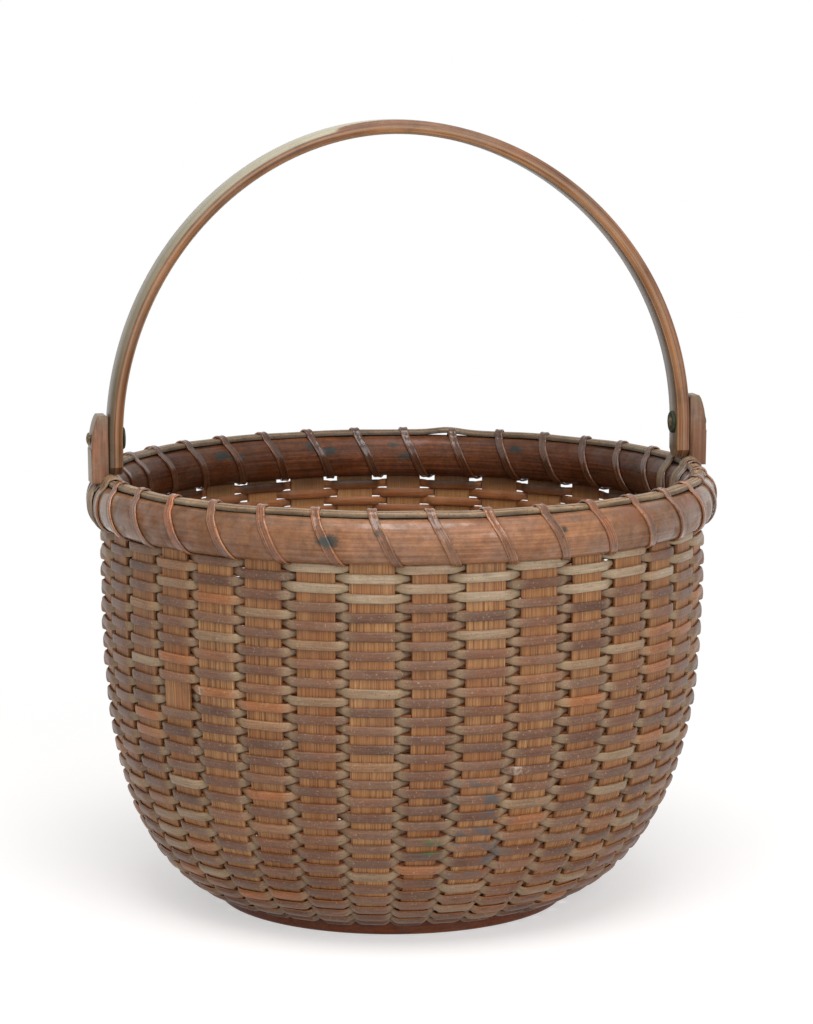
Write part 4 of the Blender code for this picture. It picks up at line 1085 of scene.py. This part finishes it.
# Handle: one strip of hardwood, bent to a bow while hot, with its four edges planed to narrow flats.
# Its ends taper inside the ears and turn on the rivets, so the whole bow swings down to either side.
PIVOT_HEIGHT = 0.1927
HANDLE_HALF_SPAN = 0.1212
HANDLE_RISE = 0.1261
HANDLE_BREADTH = 0.0118
HANDLE_THICKNESS = 0.0056
HANDLE_SQUARENESS = 1.96
HANDLE_CROWN_SHIFT = -0.0040
HANDLE_CHAMFER = 0.0010
HANDLE_END = 0.0144
HANDLE_TIP_START = 0.0112
HANDLE_TIP_BREADTH = 0.0062
HANDLE_STEPS = 120
OUTER_FACE_EDGE = 0.0078
RIDGE_AROUND = 0.0087
INNER_FACE_START = 0.0118
CROWN_ALONG = 0.204
PALE_END_ALONG = 0.245


def handle_stations():
    """(x, height over the pivot, breadth) down the middle of the bow."""
    span = HANDLE_HALF_SPAN - HANDLE_THICKNESS / 2
    rise = HANDLE_RISE - HANDLE_THICKNESS / 2
    tips = []
    for step in range(5):
        drop = HANDLE_END + (HANDLE_TIP_START - HANDLE_END) * math.sin(math.pi / 2 * step / 4)
        tips.append((drop, HANDLE_TIP_BREADTH + (HANDLE_BREADTH - HANDLE_TIP_BREADTH) * math.sin(math.pi / 2 * step / 4)))
    left = [(-span, -drop, breadth) for drop, breadth in tips]
    left += [(-span, -HANDLE_TIP_START * share, HANDLE_BREADTH) for share in (0.75, 0.5, 0.25)]
    bow = []
    for step in range(HANDLE_STEPS + 1):
        turn = math.pi * (1.0 - step / HANDLE_STEPS)
        power = 2.0 / HANDLE_SQUARENESS
        side = math.copysign(1.0, math.cos(turn))
        x = HANDLE_CROWN_SHIFT + side * abs(math.cos(turn)) ** power * (span - side * HANDLE_CROWN_SHIFT)
        bow.append((x, abs(math.sin(turn)) ** power * rise, HANDLE_BREADTH))
    return left + bow + [(-x, z, breadth) for x, z, breadth in reversed(left)]


def make_handle_wood():
    material, tree, shader = new_material("bent_handle_wood", 0.38, 0.2)
    held = wire(tree, "ShaderNodeAttribute", {"attribute_name": "grain"}).outputs["Vector"]
    parts = wire(tree, "ShaderNodeSeparateXYZ", i0=held)
    solid = wire(tree, "ShaderNodeTexCoord").outputs["Object"]
    grain = use_group(tree, WOOD_GRAIN, Vector=held, Streaks=1000.0, Length=16.0, Pores=0.9, Bands=45.0)
    tone = ramp(tree, grain.outputs["Grain"], (0.30, (0.080, 0.028, 0.012)), (0.47, (0.205, 0.086, 0.038)),
                (0.72, (0.370, 0.185, 0.090)))
    tone = mix(tree, 1.0, tone, ramp(tree, grain.outputs["Bands"], (0.35, 0.8), (0.65, 1.2)), "MULTIPLY")
    tone = mix(tree, maths(tree, "MULTIPLY", grain.outputs["Pores"], 0.6), tone, (0.045, 0.018, 0.010))
    around = parts.outputs[1]
    left_share = maths(tree, "DIVIDE", parts.outputs[0], PALE_END_ALONG)
    tone = mix(tree, 1.0, tone, ramp(tree, left_share, (0.0, (0.72, 0.68, 0.62)), (0.45, (0.92, 0.90, 0.88)),
                                     (0.70, (1.0, 1.0, 1.0))), "MULTIPLY")
    inward = ramp(tree, maths(tree, "DIVIDE", around, INNER_FACE_START), (0.70, (0.90, 0.86, 0.88)), (0.77, (1.08, 1.0, 0.74)))
    tone = mix(tree, 1.0, tone, inward, "MULTIPLY")
    # The outer face is painted pale on the left half: grey dust low on the leg, turning to a painted highlight from
    # the light above towards the crown, narrowing there with a ragged edge.
    outer = ramp(tree, maths(tree, "DIVIDE", around, OUTER_FACE_EDGE), (0.92, 0.90), (1.0, 0.0))
    across = maths(tree, "DIVIDE", wire(tree, "ShaderNodeSeparateXYZ", i0=solid).outputs[1], HANDLE_BREADTH)
    ragged = maths(tree, "MULTIPLY", noise(tree, solid, 160.0, 3.0), 0.20)
    limit = maths(tree, "MULTIPLY", ramp(tree, left_share, (0.70, 0.0), (0.83, 0.35), (0.94, 1.0)), 1.25)
    beyond = maths(tree, "SUBTRACT", maths(tree, "ADD", maths(tree, "ADD", across, 1.0), ragged), limit)
    outer = maths(tree, "MULTIPLY", outer, ramp(tree, beyond, (0.50, 0.0), (0.58, 1.0)))
    pale = ramp(tree, left_share, (0.08, (0.112, 0.078, 0.044)), (0.36, (0.255, 0.228, 0.148)),
                (0.52, (0.400, 0.375, 0.270)), (0.72, (0.520, 0.490, 0.355)))
    streaks = ramp(tree, grain.outputs["Grain"], (0.30, 0.80), (0.70, 1.10))
    tone = mix(tree, outer, tone, mix(tree, 1.0, pale, streaks, "MULTIPLY"))
    inner = ramp(tree, maths(tree, "DIVIDE", around, INNER_FACE_START), (0.96, 0.0), (1.0, 0.75))
    low = ramp(tree, maths(tree, "DIVIDE", parts.outputs[0], CROWN_ALONG), (0.10, (0.105, 0.062, 0.034)),
               (0.35, (0.165, 0.125, 0.075)))
    tone = mix(tree, inner, tone, low)
    # Painted highlight: thin light lines along the ridge down the middle of each side face and along its chamfer to
    # the inner face.
    middle = maths(tree, "ABSOLUTE", maths(tree, "SUBTRACT", around, RIDGE_AROUND))
    other = maths(tree, "ABSOLUTE", maths(tree, "SUBTRACT", around, INNER_FACE_START - 0.0003))
    edge = ramp(tree, maths(tree, "DIVIDE", maths(tree, "MINIMUM", middle, other), 0.0010), (0.20, 0.50), (0.60, 0.0))
    tone = mix(tree, edge, tone, (0.420, 0.255, 0.145))
    aged = use_group(tree, DUST_AND_GRIME, Color=tone, Vector=solid, Dust=0.25, Grime=0.3, Patch=60.0)
    tree.links.new(aged.outputs["Color"], shader.inputs["Base Color"])
    bump(tree, shader, grain.outputs["Grain"], 0.35, 0.0003)
    return material


def handle_corners(breadth):
    """(outward, sideways) corners of the bow's section, from the front of its outer face round."""
    deep = HANDLE_THICKNESS / 2
    ease = HANDLE_CHAMFER
    wide = breadth / 2
    return ((deep, wide - ease), (deep - ease * 0.35, wide - ease * 0.3), (deep - ease, wide),
            (0.0, wide + 0.0001), (ease - deep, wide), (ease * 0.35 - deep, wide - ease * 0.3),
            (-deep, wide - ease), (-deep - 0.0001, 0.0), (-deep, ease - wide),
            (ease * 0.35 - deep, ease * 0.3 - wide), (ease - deep, -wide), (0.0, -wide - 0.0001),
            (deep - ease, -wide), (deep - ease * 0.35, ease * 0.3 - wide), (deep, ease - wide),
            (deep + 0.0001, 0.0))


def make_handle(wood):
    stations = handle_stations()
    rings = []
    alongs = [0.0]
    for place, (x, z, breadth) in enumerate(stations):
        before = stations[max(place - 1, 0)]
        after = stations[min(place + 1, len(stations) - 1)]
        along = Vector((after[0] - before[0], 0, after[1] - before[1])).normalized()
        out = Vector((-along.z, 0, along.x))
        if place:
            alongs.append(alongs[-1] + math.hypot(x - before[0], z - before[1]))
        middle = Vector((RIM_SHIFT + x, 0, PIVOT_HEIGHT + z))
        rings.append([middle + out * a + Vector((0, b, 0)) for a, b in handle_corners(breadth)])
    arounds = [(abs(b) if a >= 0 else HANDLE_BREADTH - abs(b)) + HANDLE_THICKNESS / 2 - a
               for a, b in handle_corners(HANDLE_BREADTH)]
    bm = bmesh.new()
    sweep(bm, rings, (alongs, arounds))
    bmesh.ops.recalc_face_normals(bm, faces=bm.faces)
    return place_piece("bent_handle", bm, wood, 30.0)


handle = make_handle(make_handle_wood())
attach(handle, "handle")
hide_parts("handle_bow")


# Rivets and burrs: a brass rivet goes from outside through each ear and the handle, and is hammered
# over a round washer on the inner side. The washers have gone green.
RIVET_STEPS = 32
HEAD_RADIUS = 0.0026
HEAD_HEIGHT = 0.0011
SHANK_RADIUS = 0.0014
PEEN_RADIUS = 0.0022
PEEN_HEIGHT = 0.0005
HEAD_SEAT = 0.1287
BURR_OUTER = 0.1153
BURR_INNER = 0.1144
BURR_RADIUS = 0.0046
BURR_ROUNDING = 0.0005


def make_aged_brass(name, metal, tarnish, spread, roughness):
    """Brass under tarnish; spread is the noise value from which the tarnish covers the metal."""
    material, tree, shader = new_material(name, roughness)
    solid = wire(tree, "ShaderNodeTexCoord").outputs["Object"]
    cloud = noise(tree, solid, 900.0, 5.0, 0.7)
    cover = ramp(tree, cloud, (spread - 0.08, 0.0), (spread + 0.08, 1.0))
    fleck = ramp(tree, noise(tree, solid, 2600.0, 3.0), (0.35, 0.65), (0.65, 1.25))
    colour = mix(tree, cover, metal, tarnish)
    tree.links.new(mix(tree, 1.0, colour, fleck, "MULTIPLY"), shader.inputs["Base Color"])
    tree.links.new(maths(tree, "SUBTRACT", 1.0, cover), shader.inputs["Metallic"])
    tree.links.new(maths(tree, "ADD", roughness, maths(tree, "MULTIPLY", cover, 0.35)), shader.inputs["Roughness"])
    bump(tree, shader, cloud, 0.6, 0.0004)
    return material


def turned_on_pivot(name, side, outline, metal):
    """A turned piece about the pivot's axis, from (distance from the rim's middle, radius) points."""
    bm = bmesh.new()
    verts = [bm.verts.new((RIM_SHIFT + side * x, 0, PIVOT_HEIGHT + radius)) for x, radius in outline]
    edges = [bm.edges.new(pair) for pair in zip(verts, verts[1:])]
    bmesh.ops.spin(bm, geom=verts + edges, cent=(0, 0, PIVOT_HEIGHT), axis=(1, 0, 0), angle=math.tau,
                   steps=RIVET_STEPS, use_merge=True)
    bmesh.ops.remove_doubles(bm, verts=bm.verts, dist=0.00001)
    bmesh.ops.recalc_face_normals(bm, faces=bm.faces)
    return place_piece(name, bm, metal)


def dome(seat, radius, height, direction):
    """Outline of a domed head from its edge to its crown."""
    points = []
    for step in range(6):
        turn = math.pi / 2 * step / 5
        points.append((seat + direction * height * math.sin(turn), radius * math.cos(turn)))
    return points


rivet_metal = make_aged_brass("aged_rivet_brass", (0.42, 0.28, 0.13), (0.095, 0.075, 0.050), 0.46, 0.42)
burr_metal = make_aged_brass("verdigris_brass", (0.12, 0.10, 0.055), (0.050, 0.066, 0.040), 0.40, 0.60)
for side_name, side in (("left", -1), ("right", 1)):
    peen_seat = BURR_INNER + 0.0001
    outline = list(reversed(dome(HEAD_SEAT, HEAD_RADIUS, HEAD_HEIGHT, 1)))
    outline += [(HEAD_SEAT, SHANK_RADIUS), (peen_seat, SHANK_RADIUS)]
    outline += dome(peen_seat, PEEN_RADIUS, PEEN_HEIGHT, -1)
    rivet = turned_on_pivot(f"{side_name}_brass_rivet", side, outline, rivet_metal)
    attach(rivet, "basket")
    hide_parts(f"{side_name}_rivet")
    hole = SHANK_RADIUS + 0.0002
    edge = BURR_RADIUS - BURR_ROUNDING
    outline = [(BURR_OUTER, hole), (BURR_OUTER, edge), (BURR_OUTER - BURR_ROUNDING * 0.4, BURR_RADIUS),
               (BURR_INNER + BURR_ROUNDING, BURR_RADIUS), (BURR_INNER, edge), (BURR_INNER, hole), (BURR_OUTER, hole)]
    burr = turned_on_pivot(f"{side_name}_washer", side, outline, burr_metal)
    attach(burr, "basket")
    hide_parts(f"{side_name}_burr")


# Camera, floor and light: the photograph's view of a basket on a white ground.
CAMERA_DISTANCE = 1.4374
CAMERA_HEIGHT = 0.3776
CAMERA_AZIMUTH = math.radians(-13.0)
CAMERA_PITCH = math.radians(8.66)
CAMERA_SIDESTEP = 0.0018
FOCAL_LENGTH = 124.66
SENSOR = 36.0
SHADOW_REACH = 0.45


def make_camera():
    forward = Vector((-math.sin(CAMERA_AZIMUTH), math.cos(CAMERA_AZIMUTH), 0.0))
    right = Vector((math.cos(CAMERA_AZIMUTH), math.sin(CAMERA_AZIMUTH), 0.0))
    data = bpy.data.cameras.new("photo_camera")
    data.sensor_width = SENSOR
    data.lens = FOCAL_LENGTH
    camera = bpy.data.objects.new("photo_camera", data)
    bpy.context.scene.collection.objects.link(camera)
    camera.location = Vector((RIM_SHIFT, 0, CAMERA_HEIGHT)) + right * CAMERA_SIDESTEP - forward * CAMERA_DISTANCE
    look = forward * math.cos(CAMERA_PITCH) - Vector((0, 0, math.sin(CAMERA_PITCH)))
    camera.rotation_mode = "QUATERNION"
    camera.rotation_quaternion = look.to_track_quat("-Z", "Y")
    bpy.context.scene.camera = camera


def make_floor():
    material = bpy.data.materials.new("pale_floor")
    material.use_nodes = True
    tree = material.node_tree
    tree.nodes.clear()
    output = tree.nodes.new("ShaderNodeOutputMaterial")
    matte = wire(tree, "ShaderNodeBsdfDiffuse", Color=(0.75, 0.745, 0.74, 1.0))
    seen = wire(tree, "ShaderNodeBsdfDiffuse", Color=(0.60, 0.59, 0.59, 1.0))
    glow = wire(tree, "ShaderNodeEmission", Color=(1, 1, 1, 1), Strength=0.50)
    both = wire(tree, "ShaderNodeAddShader", i0=seen.outputs[0], i1=glow.outputs[0])
    white = wire(tree, "ShaderNodeEmission", Color=(1, 1, 1, 1), Strength=1.0)
    place = wire(tree, "ShaderNodeTexCoord").outputs["Object"]
    away = wire(tree, "ShaderNodeVectorMath", {"operation": "LENGTH"}, i0=place).outputs["Value"]
    far = ramp(tree, away, (SHADOW_REACH * 0.55, 0.0), (SHADOW_REACH, 1.0))
    ground = wire(tree, "ShaderNodeMixShader", i0=far, i1=both.outputs[0], i2=white.outputs[0])
    ray = wire(tree, "ShaderNodeLightPath")
    direct = maths(tree, "MAXIMUM", ray.outputs["Is Camera Ray"], ray.outputs["Is Transmission Ray"])
    direct = maths(tree, "MAXIMUM", direct, ray.outputs["Is Glossy Ray"])
    shown = wire(tree, "ShaderNodeMixShader", i0=direct, i1=matte.outputs[0], i2=ground.outputs[0])
    tree.links.new(shown.outputs[0], output.inputs["Surface"])
    bm = bmesh.new()
    bmesh.ops.create_grid(bm, x_segments=1, y_segments=1, size=4.0)
    floor = place_piece("pale_floor", bm, material)


def make_light():
    world = bpy.data.worlds.new("soft_studio")
    bpy.context.scene.world = world
    world.use_nodes = True
    tree = world.node_tree
    tree.nodes.clear()
    output = tree.nodes.new("ShaderNodeOutputWorld")
    fill = wire(tree, "ShaderNodeBackground", Color=(1.0, 0.98, 0.95, 1.0), Strength=0.52)
    white = wire(tree, "ShaderNodeBackground", Color=(1, 1, 1, 1), Strength=1.0)
    ray = wire(tree, "ShaderNodeLightPath")
    direct = maths(tree, "MAXIMUM", ray.outputs["Is Camera Ray"], ray.outputs["Is Transmission Ray"])
    direct = maths(tree, "MAXIMUM", direct, ray.outputs["Is Glossy Ray"])
    shown = wire(tree, "ShaderNodeMixShader", i0=direct, i1=fill.outputs[0], i2=white.outputs[0])
    tree.links.new(shown.outputs[0], output.inputs["Surface"])
    for name, place, size, power in (("overhead_softbox", (-0.12, -0.7, 1.5), 1.0, 14.5),
                                     ("front_softbox", (0.30, -1.8, 0.8), 1.2, 12.0)):
        data = bpy.data.lights.new(name, "AREA")
        data.shape = "DISK"
        data.size = size
        data.energy = power
        lamp = bpy.data.objects.new(name, data)
        lamp.location = place
        lamp.rotation_mode = "QUATERNION"
        lamp.rotation_quaternion = (Vector((0, 0, 0.12)) - Vector(place)).to_track_quat("-Z", "Y")
        bpy.context.scene.collection.objects.link(lamp)


make_camera()
make_floor()
make_light()
bpy.context.scene.view_settings.view_transform = "Standard"
